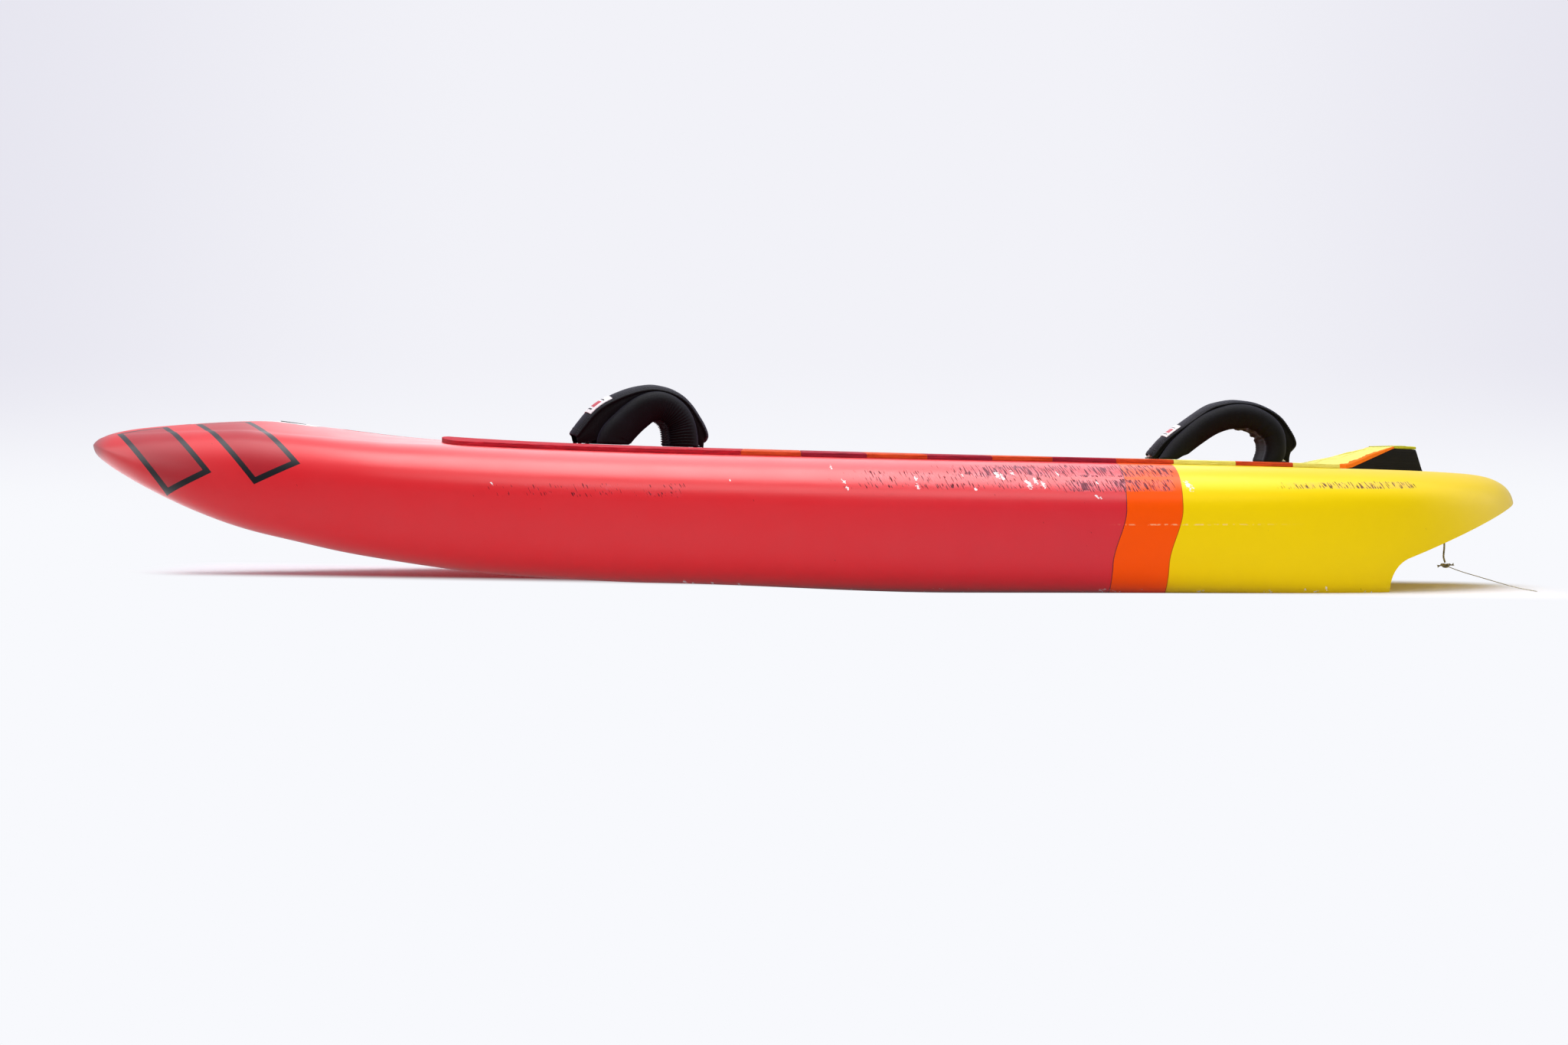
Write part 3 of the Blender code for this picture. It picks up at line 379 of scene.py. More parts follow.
@dataclass(frozen=True)
class SprayedLacquer(Finish):
    """Satin polyurethane lacquer, sprayed in colour fields over a moulded epoxy laminate, and worn along the rail."""

    name: str = "polyurethane_lacquer_sprayed_satin"
    coral: str = "#e31b26"
    rose: str = "#d31f36"  # the coral dulls towards the orange band
    orange: str = "#ff5700"
    yellow: str = "#f8d600"
    panel: str = "#b81624"
    outline: str = "#141118"
    white: str = "#f3f1ee"
    grey: str = "#8d5a5e"
    band_front: float = 0.3785
    band_back: float = 0.4440
    mark_length: float = 0.0065  # a scuff's length up the rail; the real ones run from 4 to 12 mm

    def build(self, tree: Tree, shader: bpy.types.Node) -> None:
        """Adds the colour fields, the nose bars, the wear and the gloss."""
        place = add(tree, "TexCoord", out="Object")
        x, y, z = (add(tree, "SeparateXYZ", {0: place}, out=k) for k in range(3))
        edge = self.band_edge(tree, x, z)
        colour = self.fields(tree, place, x, edge)
        colour = self.nose_bars(tree, colour, x, y, z)
        colour, worn = self.wear(tree, colour, place, x, z)
        tree.links.new(colour, shader.inputs["Base Color"])
        # Aft of the coral the gloss keeps the paint's own hue.
        aft = add(tree, "Math", {0: edge, 1: self.band_front}, operation="GREATER_THAN")
        aft = add(tree, "Math", {0: aft, 1: 0.85}, operation="MULTIPLY")
        gloss = add(tree, "Mix", {0: aft, 6: linear("#ffffff"), 7: colour}, **RGBA)
        tree.links.new(gloss, shader.inputs["Specular Tint"])
        # Sprayed film levels into a fine orange peel, about 1 mm across, that softens every highlight.
        peel = add(tree, "TexNoise", {"Vector": place, "Scale": 900.0, "Detail": 2.0})
        sway = add(tree, "TexNoise", {"Vector": place, "Scale": 22.0, "Detail": 3.0})
        mixed = add(tree, "Math", {0: sway, 1: 0.12, 2: 0.27}, operation="MULTIPLY_ADD")
        rough = add(tree, "Math", {0: worn, 1: 0.25, 2: mixed}, operation="MULTIPLY_ADD")
        tree.links.new(rough, shader.inputs["Roughness"])
        dents = add(tree, "Math", {0: worn, 1: -0.8, 2: peel}, operation="MULTIPLY_ADD")
        bump = add(tree, "Bump", {"Height": dents, "Distance": 0.00012, "Strength": 0.35})
        tree.links.new(bump, shader.inputs["Normal"])
        shader.inputs["IOR"].default_value = 1.5
        gleam = add(tree, "Math", {0: worn, 1: -0.65, 2: 0.7}, operation="MULTIPLY_ADD")
        tree.links.new(gleam, shader.inputs["Specular IOR Level"])

    def band_edge(self, tree: Tree, x: Socket, z: Socket) -> Socket:
        """How far aft a point lies, with the sweep that the painted edges take down the rail."""
        low = add(tree, "MapRange", {0: z, 1: 0.1, 2: 0.035}, **SMOOTH)
        high = add(tree, "MapRange", {0: z, 1: 0.13, 2: 0.157}, **SMOOTH)
        swing = add(tree, "Math", {0: low, 1: 0.0145, 2: x}, operation="MULTIPLY_ADD")
        return add(tree, "Math", {0: high, 1: 0.0012, 2: swing}, operation="MULTIPLY_ADD")

    def fields(self, tree: Tree, place: Socket, x: Socket, edge: Socket) -> Socket:
        """Coral, orange and yellow from nose to tail.

        Args:
            tree: The material's node tree.
            place: The object coordinates.
            x: How far aft a point lies.
            edge: The same with the sweep of the painted edges.

        Returns:
            The colour's socket.
        """
        fade = add(tree, "MapRange", {0: x, 1: -0.05, 2: 0.34}, **SMOOTH)
        cloud = add(tree, "TexNoise", {"Vector": place, "Scale": 7.0, "Detail": 4.0})
        fade = add(tree, "Math", {0: fade, 1: cloud}, operation="MULTIPLY")
        fade = add(tree, "Math", {0: fade, 1: 0.6}, operation="MULTIPLY", use_clamp=True)
        colour = add(tree, "Mix", {0: fade, 6: linear(self.coral), 7: linear(self.rose)}, **RGBA)
        nose = add(tree, "MapRange", {0: x, 1: -0.86, 2: -0.912}, **SMOOTH)
        nose = add(tree, "Math", {0: nose, 1: 0.75}, operation="MULTIPLY")
        colour = add(tree, "Mix", {0: nose, 6: colour, 7: linear(self.grey)}, **RGBA)
        for start, code in ((self.band_front, self.orange), (self.band_back, self.yellow)):
            line = add(tree, "Math", {0: edge, 1: start - 0.0006}, operation="GREATER_THAN")
            colour = add(tree, "Mix", {0: line, 6: colour, 7: linear("#7a1c28" if code == self.orange else "#c25a00")}, **RGBA)
            over = add(tree, "Math", {0: edge, 1: start + 0.0004}, operation="GREATER_THAN")
            colour = add(tree, "Mix", {0: over, 6: colour, 7: linear(code)}, **RGBA)
        return colour

    def nose_bars(self, tree: Tree, colour: Socket, x: Socket, y: Socket, z: Socket) -> Socket:
        """Slanted bars with dark outlines across the nose, and a white bar on the deck between them."""
        off = add(tree, "Math", {0: y}, operation="ABSOLUTE")
        slant = add(tree, "Math", {0: z, 1: 0.75, 2: x}, operation="MULTIPLY_ADD")
        slant = add(tree, "Math", {0: off, 1: -0.35, 2: slant}, operation="MULTIPLY_ADD")
        foot = add(tree, "Math", {0: x, 1: -0.42, 2: z}, operation="MULTIPLY_ADD")
        for centre, half, low in ((-0.710, 0.036, 0.438), (-0.600, 0.036, 0.400)):
            away = add(tree, "Math", {0: slant, 1: -centre}, operation="ADD")
            away = add(tree, "Math", {0: away}, operation="ABSOLUTE")
            side = add(tree, "Math", {0: half, 1: away}, operation="SUBTRACT")
            above = add(tree, "Math", {0: foot, 1: -low}, operation="ADD")
            inner = add(tree, "Math", {0: off, 1: -0.055}, operation="ADD")
            depth = add(tree, "Math", {0: side, 1: above}, operation="MINIMUM")
            depth = add(tree, "Math", {0: depth, 1: inner}, operation="MINIMUM")
            dark = add(tree, "Math", {0: depth, 1: 0.0}, operation="GREATER_THAN")
            fill = add(tree, "Math", {0: depth, 1: 0.008}, operation="GREATER_THAN")
            colour = add(tree, "Mix", {0: dark, 6: colour, 7: linear(self.outline)}, **RGBA)
            colour = add(tree, "Mix", {0: fill, 6: colour, 7: linear(self.panel)}, **RGBA)
        middle = add(tree, "Math", {0: x, 1: 0.700}, operation="ADD")
        middle = add(tree, "Math", {0: middle}, operation="ABSOLUTE")
        long = add(tree, "Math", {0: 0.085, 1: middle}, operation="SUBTRACT")
        wide = add(tree, "Math", {0: 0.040, 1: off}, operation="SUBTRACT")
        depth = add(tree, "Math", {0: long, 1: wide}, operation="MINIMUM")
        on_top = add(tree, "Math", {0: z, 1: 0.18}, operation="GREATER_THAN")
        depth = add(tree, "Math", {0: depth, 1: on_top}, operation="MULTIPLY")
        dark = add(tree, "Math", {0: depth, 1: 0.0}, operation="GREATER_THAN")
        fill = add(tree, "Math", {0: depth, 1: 0.005}, operation="GREATER_THAN")
        colour = add(tree, "Mix", {0: dark, 6: colour, 7: linear(self.outline)}, **RGBA)
        return add(tree, "Mix", {0: fill, 6: colour, 7: linear(self.white)}, **RGBA)

    def wear(
        self, tree: Tree, colour: Socket, place: Socket, x: Socket, z: Socket
    ) -> tuple[Socket, Socket]:
        """Dark rub marks and pale chips along the rail.

        Args:
            tree: The material's node tree.
            colour: The clean colour.
            place: The object coordinates.
            x: How far aft a point lies.
            z: How high it lies.

        Returns:
            The worn colour, and how worn it is.
        """
        across = 0.0012  # a rub mark's width, drawn wider than its real 0.5 mm so that it shows
        leaning = add(tree, "Math", {0: z, 1: 0.5, 2: x}, operation="MULTIPLY_ADD")
        grain = add(
            tree, "CombineXYZ",
            {0: add(tree, "Math", {0: leaning, 1: 1 / across}, operation="MULTIPLY"),
             2: add(tree, "Math", {0: z, 1: 1 / self.mark_length}, operation="MULTIPLY")},
        )
        streak = add(tree, "TexNoise", {"Vector": grain, "Scale": 0.75, "Detail": 1.0, "Roughness": 0.4})
        patch = add(tree, "TexNoise", {"Vector": place, "Scale": 34.0, "Detail": 2.0})
        total = None
        # Rows of marks: middle height, half height, start and end along the board, and how dense they are.
        rows = (
            (0.1430, 0.0095, 0.10, 0.448, 0.64), (0.1265, 0.0100, 0.22, 0.448, 0.62), (0.1330, 0.0150, -0.02, 0.33, 0.42),
            (0.1265, 0.0060, 0.50, 0.74, 0.58), (0.1450, 0.0060, 0.45, 0.52, 0.38), (0.1210, 0.0120, -0.43, -0.12, 0.36),
        )
        for height, reach, start, end, dense in rows:
            away = add(tree, "Math", {0: z, 1: -height}, operation="ADD")
            away = add(tree, "Math", {0: away}, operation="ABSOLUTE")
            row = add(tree, "MapRange", {0: away, 1: reach, 2: reach * 0.5, 4: dense}, **SMOOTH)
            begun = add(tree, "MapRange", {0: x, 1: start, 2: start + 0.12}, **SMOOTH)
            ended = add(tree, "MapRange", {0: x, 1: end, 2: end - 0.02}, **SMOOTH)
            row = add(tree, "Math", {0: row, 1: begun}, operation="MULTIPLY")
            row = add(tree, "Math", {0: row, 1: ended}, operation="MULTIPLY")
            total = row if total is None else add(tree, "Math", {0: total, 1: row}, operation="MAXIMUM")
        need = add(tree, "Math", {0: patch, 1: 0.42}, operation="SUBTRACT")
        need = add(tree, "Math", {0: need, 1: 0.55, 2: 0.42}, operation="MULTIPLY_ADD")
        strength = add(tree, "Math", {0: total, 1: need}, operation="MULTIPLY")
        level = add(tree, "Math", {0: strength, 1: streak}, operation="ADD")
        marks = add(tree, "MapRange", {0: level, 1: 0.80, 2: 0.835})
        marks = add(tree, "Math", {0: marks, 1: 0.88}, operation="MULTIPLY", use_clamp=True)
        colour = add(tree, "Mix", {0: marks, 6: colour, 7: linear("#1a1018")}, **RGBA)
        # Light scratches where the clear coat is rubbed through, seen only as paler coral.
        pale = add(tree, "Math", {0: strength, 1: 1.4}, operation="MULTIPLY", use_clamp=True)
        other = add(tree, "TexNoise", {"Vector": grain, "Scale": 1.3, "Detail": 2.0})
        pale = add(tree, "Math", {0: pale, 1: other}, operation="MULTIPLY")
        pale = add(tree, "MapRange", {0: pale, 1: 0.12, 2: 0.3, 4: 0.35})
        colour = add(tree, "Mix", {0: pale, 6: colour, 7: linear("#d98aa0")}, **RGBA)
        worn = marks
        ragged = add(tree, "TexNoise", {"Vector": place, "Scale": 420.0, "Detail": 3.0, "Roughness": 0.6})
        for spot_x, spot_z, size in CHIPS:
            to_x = add(tree, "Math", {0: x, 1: -spot_x}, operation="ADD")
            to_z = add(tree, "Math", {0: z, 1: -spot_z}, operation="ADD")
            to_x = add(tree, "Math", {0: to_z, 1: 0.5, 2: to_x}, operation="MULTIPLY_ADD")
            to_x = add(tree, "Math", {0: to_x, 1: 1.5}, operation="MULTIPLY")
            apart = add(tree, "CombineXYZ", {0: to_x, 2: to_z})
            apart = add(tree, "VectorMath", {0: apart}, out="Value", operation="LENGTH")
            rim = add(tree, "Math", {0: ragged, 1: -3.4 * size, 2: apart}, operation="MULTIPLY_ADD")
            hit = add(tree, "Math", {0: rim, 1: -1.05 * size}, operation="LESS_THAN")
            colour = add(tree, "Mix", {0: hit, 6: colour, 7: linear("#f4ecec")}, **RGBA)
            worn = add(tree, "Math", {0: worn, 1: hit}, operation="MAXIMUM")
        return self.tail_and_seam(tree, colour, place, x, z), worn

    def tail_and_seam(self, tree: Tree, colour: Socket, place: Socket, x: Socket, z: Socket) -> Socket:
        """The rubbed tip of the tail, the pale mould line on the rail, and the bottom edge's scrapes."""
        tip = add(tree, "MapRange", {0: x, 1: 0.868, 2: 0.902}, **SMOOTH)
        dust = add(tree, "TexNoise", {"Vector": place, "Scale": 130.0, "Detail": 5.0, "Roughness": 0.7})
        grime = add(tree, "Math", {0: tip, 1: 0.16, 2: dust}, operation="MULTIPLY_ADD")
        grime = add(tree, "MapRange", {0: grime, 1: 0.64, 2: 0.74, 4: 0.7})
        grime = add(tree, "Math", {0: grime, 1: tip}, operation="MULTIPLY")
        colour = add(tree, "Mix", {0: grime, 6: colour, 7: linear("#4a4210")}, **RGBA)
        line = add(tree, "Math", {0: z, 1: -0.0815}, operation="ADD")
        line = add(tree, "Math", {0: line}, operation="ABSOLUTE")
        line = add(tree, "MapRange", {0: line, 1: 0.0011, 2: 0.0004})
        dash = add(tree, "TexNoise", {"Vector": place, "Scale": 160.0, "Detail": 3.0})
        dash = add(tree, "MapRange", {0: dash, 1: 0.47, 2: 0.56, 4: 0.55})
        begun = add(tree, "MapRange", {0: x, 1: 0.355, 2: 0.40}, **SMOOTH)
        ended = add(tree, "MapRange", {0: x, 1: 0.60, 2: 0.45}, **SMOOTH)
        line = add(tree, "Math", {0: line, 1: dash}, operation="MULTIPLY")
        line = add(tree, "Math", {0: line, 1: begun}, operation="MULTIPLY")
        line = add(tree, "Math", {0: line, 1: ended}, operation="MULTIPLY")
        colour = add(tree, "Mix", {0: line, 6: colour, 7: linear("#ffd9a0")}, **RGBA)
        low = add(tree, "MapRange", {0: z, 1: 0.012, 2: 0.002})
        scrape = add(tree, "TexNoise", {"Vector": place, "Scale": 55.0, "Detail": 5.0, "Roughness": 0.75})
        scrape = add(tree, "Math", {0: low, 1: 0.12, 2: scrape}, operation="MULTIPLY_ADD")
        scrape = add(tree, "MapRange", {0: scrape, 1: 0.71, 2: 0.74})
        scrape = add(tree, "Math", {0: scrape, 1: low}, operation="MULTIPLY")
        return add(tree, "Mix", {0: scrape, 6: colour, 7: linear("#eceae6")}, **RGBA)


# Chips down to the white primer: place along the board, height, and size.
CHIPS = (
    (0.0370, 0.1480, 0.0026), (0.0520, 0.1310, 0.0034), (0.0560, 0.1235, 0.0030), (0.1350, 0.1345, 0.0030),
    (0.1370, 0.1255, 0.0034), (0.1900, 0.1380, 0.0022), (0.2040, 0.1230, 0.0032), (0.2300, 0.1395, 0.0052),
    (0.2360, 0.1360, 0.0044), (0.2480, 0.1405, 0.0036), (0.2660, 0.1285, 0.0058), (0.2740, 0.1320, 0.0046),
    (0.2830, 0.1275, 0.0044), (0.3010, 0.1400, 0.0024), (0.3460, 0.1300, 0.0024), (0.3440, 0.1140, 0.0028),
    (0.3490, 0.1120, 0.0022), (0.4520, 0.1270, 0.0068), (0.5930, 0.0050, 0.0022), (0.6190, 0.0052, 0.0030),
    (-0.1340, 0.0120, 0.0040), (-0.1250, 0.0105, 0.0032), (-0.1010, 0.0098, 0.0036), (-0.0700, 0.0090, 0.0030),
    (-0.3570, 0.1290, 0.0020), (-0.0800, 0.1330, 0.0018),
)


@dataclass(frozen=True)
class CutEva(Finish):
    """Closed-cell EVA foam sheet, milled and brushed: quite matte, with a fine nap and tool streaks on cut sides."""

    colour: str = "#d0202f"
    streak: str = "#7d1020"
    groove: float = 0.0  # spacing of the moulded grip grooves, 0 for none
    brushed: float = 1.0
    rim: str = ""  # colour of the layer that shows at both outer edges, if there is one
    rim_from: float = 0.0  # how far off the middle line that layer starts

    def build(self, tree: Tree, shader: bpy.types.Node) -> None:
        """Adds the streaked colour, the nap, and the grip grooves with painted shade in them."""
        place = add(tree, "TexCoord", out="Object")
        # Tool streaks run along the board, about 1 mm high and 25 mm long.
        stretch = add(tree, "Mapping", {0: place, "Scale": (42.0, 60.0, 900.0)})
        streaks = add(tree, "TexNoise", {"Vector": stretch, "Scale": 1.0, "Detail": 5.0, "Roughness": 0.65})
        streaks = add(tree, "MapRange", {0: streaks, 1: 0.42, 2: 0.66, 4: self.brushed})
        side = add(tree, "NewGeometry", out="Normal")
        up = add(tree, "SeparateXYZ", {0: side}, out=2)
        upright = add(tree, "MapRange", {0: up, 1: 0.9, 2: 0.5})
        streaks = add(tree, "Math", {0: streaks, 1: upright}, operation="MULTIPLY")
        nap = add(tree, "TexNoise", {"Vector": place, "Scale": 700.0, "Detail": 3.0, "Roughness": 0.7})
        shade = add(tree, "MapRange", {0: nap, 1: 0.3, 2: 0.75, 3: 0.0, 4: 0.28})
        colour = add(tree, "Mix", {0: shade, 6: linear(self.colour), 7: linear(self.streak)}, **RGBA)
        colour = add(tree, "Mix", {0: streaks, 6: colour, 7: linear(self.streak)}, **RGBA)
        if self.rim:
            off = add(tree, "Math", {0: add(tree, "SeparateXYZ", {0: place}, out=1)}, operation="ABSOLUTE")
            torn = add(tree, "TexNoise", {"Vector": place, "Scale": 150.0, "Detail": 3.0})
            off = add(tree, "Math", {0: torn, 1: 0.008, 2: off}, operation="MULTIPLY_ADD")
            over = add(tree, "Math", {0: off, 1: self.rim_from + 0.004}, operation="GREATER_THAN")
            colour = add(tree, "Mix", {0: over, 6: colour, 7: linear(self.rim)}, **RGBA)
        height = nap
        if self.groove:
            # Crossed grip grooves on the faces that look up, cut on both diagonals.
            x, y = (add(tree, "SeparateXYZ", {0: place}, out=k) for k in range(2))
            cuts = None
            for sign in (1.0, -1.0):
                run = add(tree, "Math", {0: y, 1: sign, 2: x}, operation="MULTIPLY_ADD")
                run = add(tree, "Math", {0: run, 1: 0.7071 / self.groove}, operation="MULTIPLY")
                run = add(tree, "Math", {0: run}, operation="FRACT")
                run = add(tree, "Math", {0: run, 1: -0.5}, operation="ADD")
                run = add(tree, "Math", {0: run}, operation="ABSOLUTE")
                run = add(tree, "MapRange", {0: run, 1: 0.06, 2: 0.13}, **SMOOTH)
                cuts = run if cuts is None else add(tree, "Math", {0: cuts, 1: run}, operation="MINIMUM")
            flat = add(tree, "MapRange", {0: up, 1: 0.75, 2: 0.92})
            depth = add(tree, "Math", {0: 1.0, 1: cuts}, operation="SUBTRACT")
            depth = add(tree, "Math", {0: depth, 1: flat}, operation="MULTIPLY")
            # The grooves are painted darker with the streak colour: painted shade in them, on top of their bump.
            dark = add(tree, "Math", {0: depth, 1: 0.6}, operation="MULTIPLY")
            colour = add(tree, "Mix", {0: dark, 6: colour, 7: linear(self.streak)}, **RGBA)
            height = add(tree, "Math", {0: depth, 1: -2.2, 2: nap}, operation="MULTIPLY_ADD")
        tree.links.new(colour, shader.inputs["Base Color"])
        height = add(tree, "Math", {0: streaks, 1: -0.8, 2: height}, operation="MULTIPLY_ADD")
        bump = add(tree, "Bump", {"Height": height, "Distance": 0.0005, "Strength": 0.6})
        tree.links.new(bump, shader.inputs["Normal"])
        shader.inputs["Roughness"].default_value = 0.86
        shader.inputs["IOR"].default_value = 1.45
        shader.inputs["Specular IOR Level"].default_value = 0.25
        shader.inputs["Sheen Weight"].default_value = 0.12
        shader.inputs["Sheen Roughness"].default_value = 0.5


@dataclass(frozen=True)
class KnitNeoprene(Finish):
    """Neoprene foam faced with knitted nylon: near black with a cool soft sheen, and a fine rib in the knit."""

    name: str = "neoprene_nylon_jersey"
    colour: str = "#050508"
    lit: str = "#10101a"
    stitch: float = 0.0012  # the knit's real 0.4 mm wale, drawn at three times that so that it shows

    def build(self, tree: Tree, shader: bpy.types.Node) -> None:
        """Adds the knit, its lighter patches in the lit colour, a painted highlight scattered by noise, and its sheen.
        """
        place = add(tree, "TexCoord", out="Object")
        wales = add(tree, "TexWave", {"Vector": place, "Scale": 0.16 / self.stitch, "Distortion": 2.0, "Detail": 2.0})
        courses = add(tree, "TexVoronoi", {"Vector": place, "Scale": 1 / self.stitch})
        # Patches of the lit colour, scattered by noise, are a painted highlight on the near-black knit.
        cloud = add(tree, "TexNoise", {"Vector": place, "Scale": 60.0, "Detail": 4.0})
        knit = add(tree, "Math", {0: wales, 1: 0.4, 2: courses}, operation="MULTIPLY_ADD")
        share = add(tree, "MapRange", {0: cloud, 1: 0.35, 2: 0.75, 4: 0.6})
        colour = add(tree, "Mix", {0: share, 6: linear(self.colour), 7: linear(self.lit)}, **RGBA)
        tree.links.new(colour, shader.inputs["Base Color"])
        bump = add(tree, "Bump", {"Height": knit, "Distance": 0.00025, "Strength": 0.5})
        tree.links.new(bump, shader.inputs["Normal"])
        shader.inputs["Roughness"].default_value = 0.72
        shader.inputs["Specular IOR Level"].default_value = 0.2
        shader.inputs["Sheen Weight"].default_value = 0.16
        shader.inputs["Sheen Roughness"].default_value = 0.4
        shader.inputs["Sheen Tint"].default_value = linear("#8f8fc0")


@dataclass(frozen=True)
class WovenPolyester(Finish):
    """Polyester webbing or tape, plain woven: matte with a low rib across its length."""

    name: str = "polyester_webbing_woven"
    colour: str = "#15151a"
    rib: float = 0.0016  # pick spacing

    def build(self, tree: Tree, shader: bpy.types.Node) -> None:
        """Adds the weave."""
        place = add(tree, "TexCoord", out="Object")
        picks = add(tree, "TexWave", {"Vector": place, "Scale": 0.16 / self.rib, "Distortion": 0.6})
        ends = add(
            tree, "TexWave", {"Vector": place, "Scale": 0.16 / self.rib, "Distortion": 0.6}, bands_direction="Y"
        )
        weave = add(tree, "Math", {0: picks, 1: ends}, operation="MULTIPLY")
        shade = add(tree, "MapRange", {0: weave, 4: 0.5})
        colour = add(tree, "Mix", {0: shade, 6: linear(self.colour), 7: linear("#2c2c34")}, **RGBA)
        tree.links.new(colour, shader.inputs["Base Color"])
        bump = add(tree, "Bump", {"Height": weave, "Distance": 0.0003, "Strength": 0.6})
        tree.links.new(bump, shader.inputs["Normal"])
        shader.inputs["Roughness"].default_value = 0.8
        shader.inputs["Sheen Weight"].default_value = 0.15


@dataclass(frozen=True)
class WovenLabel(Finish):
    """A white satin-woven label with one plain red bar and a dark hem line."""

    name: str = "polyester_label_satin_woven"

    def build(self, tree: Tree, shader: bpy.types.Node) -> None:
        """Adds the bar and the weave by the patch's own UVs."""
        flat = add(tree, "TexCoord", out="UV")
        u, v = (add(tree, "SeparateXYZ", {0: flat}, out=k) for k in range(2))
        smear = add(tree, "TexNoise", {"Vector": flat, "Scale": 9.0, "Detail": 3.0})
        dirt = add(tree, "MapRange", {0: smear, 1: 0.45, 2: 0.8, 4: 0.35})
        colour = add(tree, "Mix", {0: dirt, 6: linear("#ebe8ec"), 7: linear("#b9a9b4")}, **RGBA)
        for low, high, left, right, code in (
            (0.28, 0.62, 0.14, 0.70, "#b93c4c"), (0.70, 0.76, 0.14, 0.86, "#1b1820"), (0.14, 0.20, 0.14, 0.86, "#1b1820"),
        ):
            share = None
            for value, edge, kind in ((u, low, 0), (u, high, 1), (v, left, 0), (v, right, 1)):
                test = add(tree, "Math", {0: value, 1: edge}, operation=("GREATER_THAN", "LESS_THAN")[kind])
                share = test if share is None else add(tree, "Math", {0: share, 1: test}, operation="MULTIPLY")
            colour = add(tree, "Mix", {0: share, 6: colour, 7: linear(code)}, **RGBA)
        tree.links.new(colour, shader.inputs["Base Color"])
        weave = add(tree, "TexWave", {"Vector": flat, "Scale": 18.0})
        bump = add(tree, "Bump", {"Height": weave, "Distance": 0.0001, "Strength": 0.4})
        tree.links.new(bump, shader.inputs["Normal"])
        shader.inputs["Roughness"].default_value = 0.55


@dataclass(frozen=True)
class MouldedNylon(Finish):
    """Glass-filled nylon, injection moulded: black satin with a faint spark-eroded grain."""

    name: str = "nylon_glass_filled_moulded"
    colour: str = "#141416"

    def build(self, tree: Tree, shader: bpy.types.Node) -> None:
        """Adds the grain and the scuffed lighter patches."""
        place = add(tree, "TexCoord", out="Object")
        grain = add(tree, "TexNoise", {"Vector": place, "Scale": 1400.0, "Detail": 2.0})
        rubbed = add(tree, "TexNoise", {"Vector": place, "Scale": 90.0, "Detail": 5.0, "Roughness": 0.7})
        share = add(tree, "MapRange", {0: rubbed, 1: 0.5, 2: 0.75, 4: 0.5})
        colour = add(tree, "Mix", {0: share, 6: linear(self.colour), 7: linear("#3a3a3d")}, **RGBA)
        tree.links.new(colour, shader.inputs["Base Color"])
        rough = add(tree, "MapRange", {0: rubbed, 3: 0.38, 4: 0.6})
        tree.links.new(rough, shader.inputs["Roughness"])
        bump = add(tree, "Bump", {"Height": grain, "Distance": 0.0001, "Strength": 0.4})
        tree.links.new(bump, shader.inputs["Normal"])


@dataclass(frozen=True)
class TurnedSteel(Finish):
    """A4 stainless steel, turned: fine rings about its axis that stretch the highlights."""

    name: str = "stainless_steel_turned"

    def build(self, tree: Tree, shader: bpy.types.Node) -> None:
        """Adds the tool rings and the dulled salt film."""
        place = add(tree, "TexCoord", out="Object")
        film = add(tree, "TexNoise", {"Vector": place, "Scale": 300.0, "Detail": 4.0})
        colour = add(tree, "Mix", {0: film, 6: linear("#c9cacc"), 7: linear("#9d9c99")}, **RGBA)
        tree.links.new(colour, shader.inputs["Base Color"])
        rough = add(tree, "MapRange", {0: film, 3: 0.2, 4: 0.42})
        tree.links.new(rough, shader.inputs["Roughness"])
        rings = add(tree, "TexNoise", {"Vector": place, "Scale": 2500.0, "Detail": 1.0})
        bump = add(tree, "Bump", {"Height": rings, "Distance": 0.00005, "Strength": 0.3})
        tree.links.new(bump, shader.inputs["Normal"])
        shader.inputs["Metallic"].default_value = 1.0


@dataclass(frozen=True)
class NitrileRubber(Finish):
    """Nitrile rubber, moulded: soft black with a greasy satin face."""

    name: str = "nitrile_rubber_moulded"

    def build(self, tree: Tree, shader: bpy.types.Node) -> None:
        """Adds the faint bloom."""
        place = add(tree, "TexCoord", out="Object")
        bloom = add(tree, "TexNoise", {"Vector": place, "Scale": 500.0, "Detail": 3.0})
        colour = add(tree, "Mix", {0: bloom, 6: linear("#0c0c0d"), 7: linear("#1c1c1e")}, **RGBA)
        tree.links.new(colour, shader.inputs["Base Color"])
        rough = add(tree, "MapRange", {0: bloom, 3: 0.42, 4: 0.6})
        tree.links.new(rough, shader.inputs["Roughness"])
        bump = add(tree, "Bump", {"Height": bloom, "Distance": 0.00006, "Strength": 0.4})
        tree.links.new(bump, shader.inputs["Normal"])


@dataclass(frozen=True)
class BeadFoam(Finish):
    """Foam board, moulded from beads or cut from a block: pale, matte and pitted."""

    name: str = "eps_foam_bead_moulded"
    colour: str = "#f0f0ec"
    bead: float = 0.004

    def build(self, tree: Tree, shader: bpy.types.Node) -> None:
        """Adds the beads."""
        place = add(tree, "TexCoord", out="Object")
        beads = add(tree, "TexVoronoi", {"Vector": place, "Scale": 1 / self.bead})
        shade = add(tree, "MapRange", {0: beads, 1: 0.3, 2: 0.8, 4: 0.3})
        colour = add(tree, "Mix", {0: shade, 6: linear(self.colour), 7: linear("#b9b6a6")}, **RGBA)
        tree.links.new(colour, shader.inputs["Base Color"])
        bump = add(tree, "Bump", {"Height": beads, "Distance": 0.0008, "Strength": -0.6})
        tree.links.new(bump, shader.inputs["Normal"])
        shader.inputs["Roughness"].default_value = 0.92


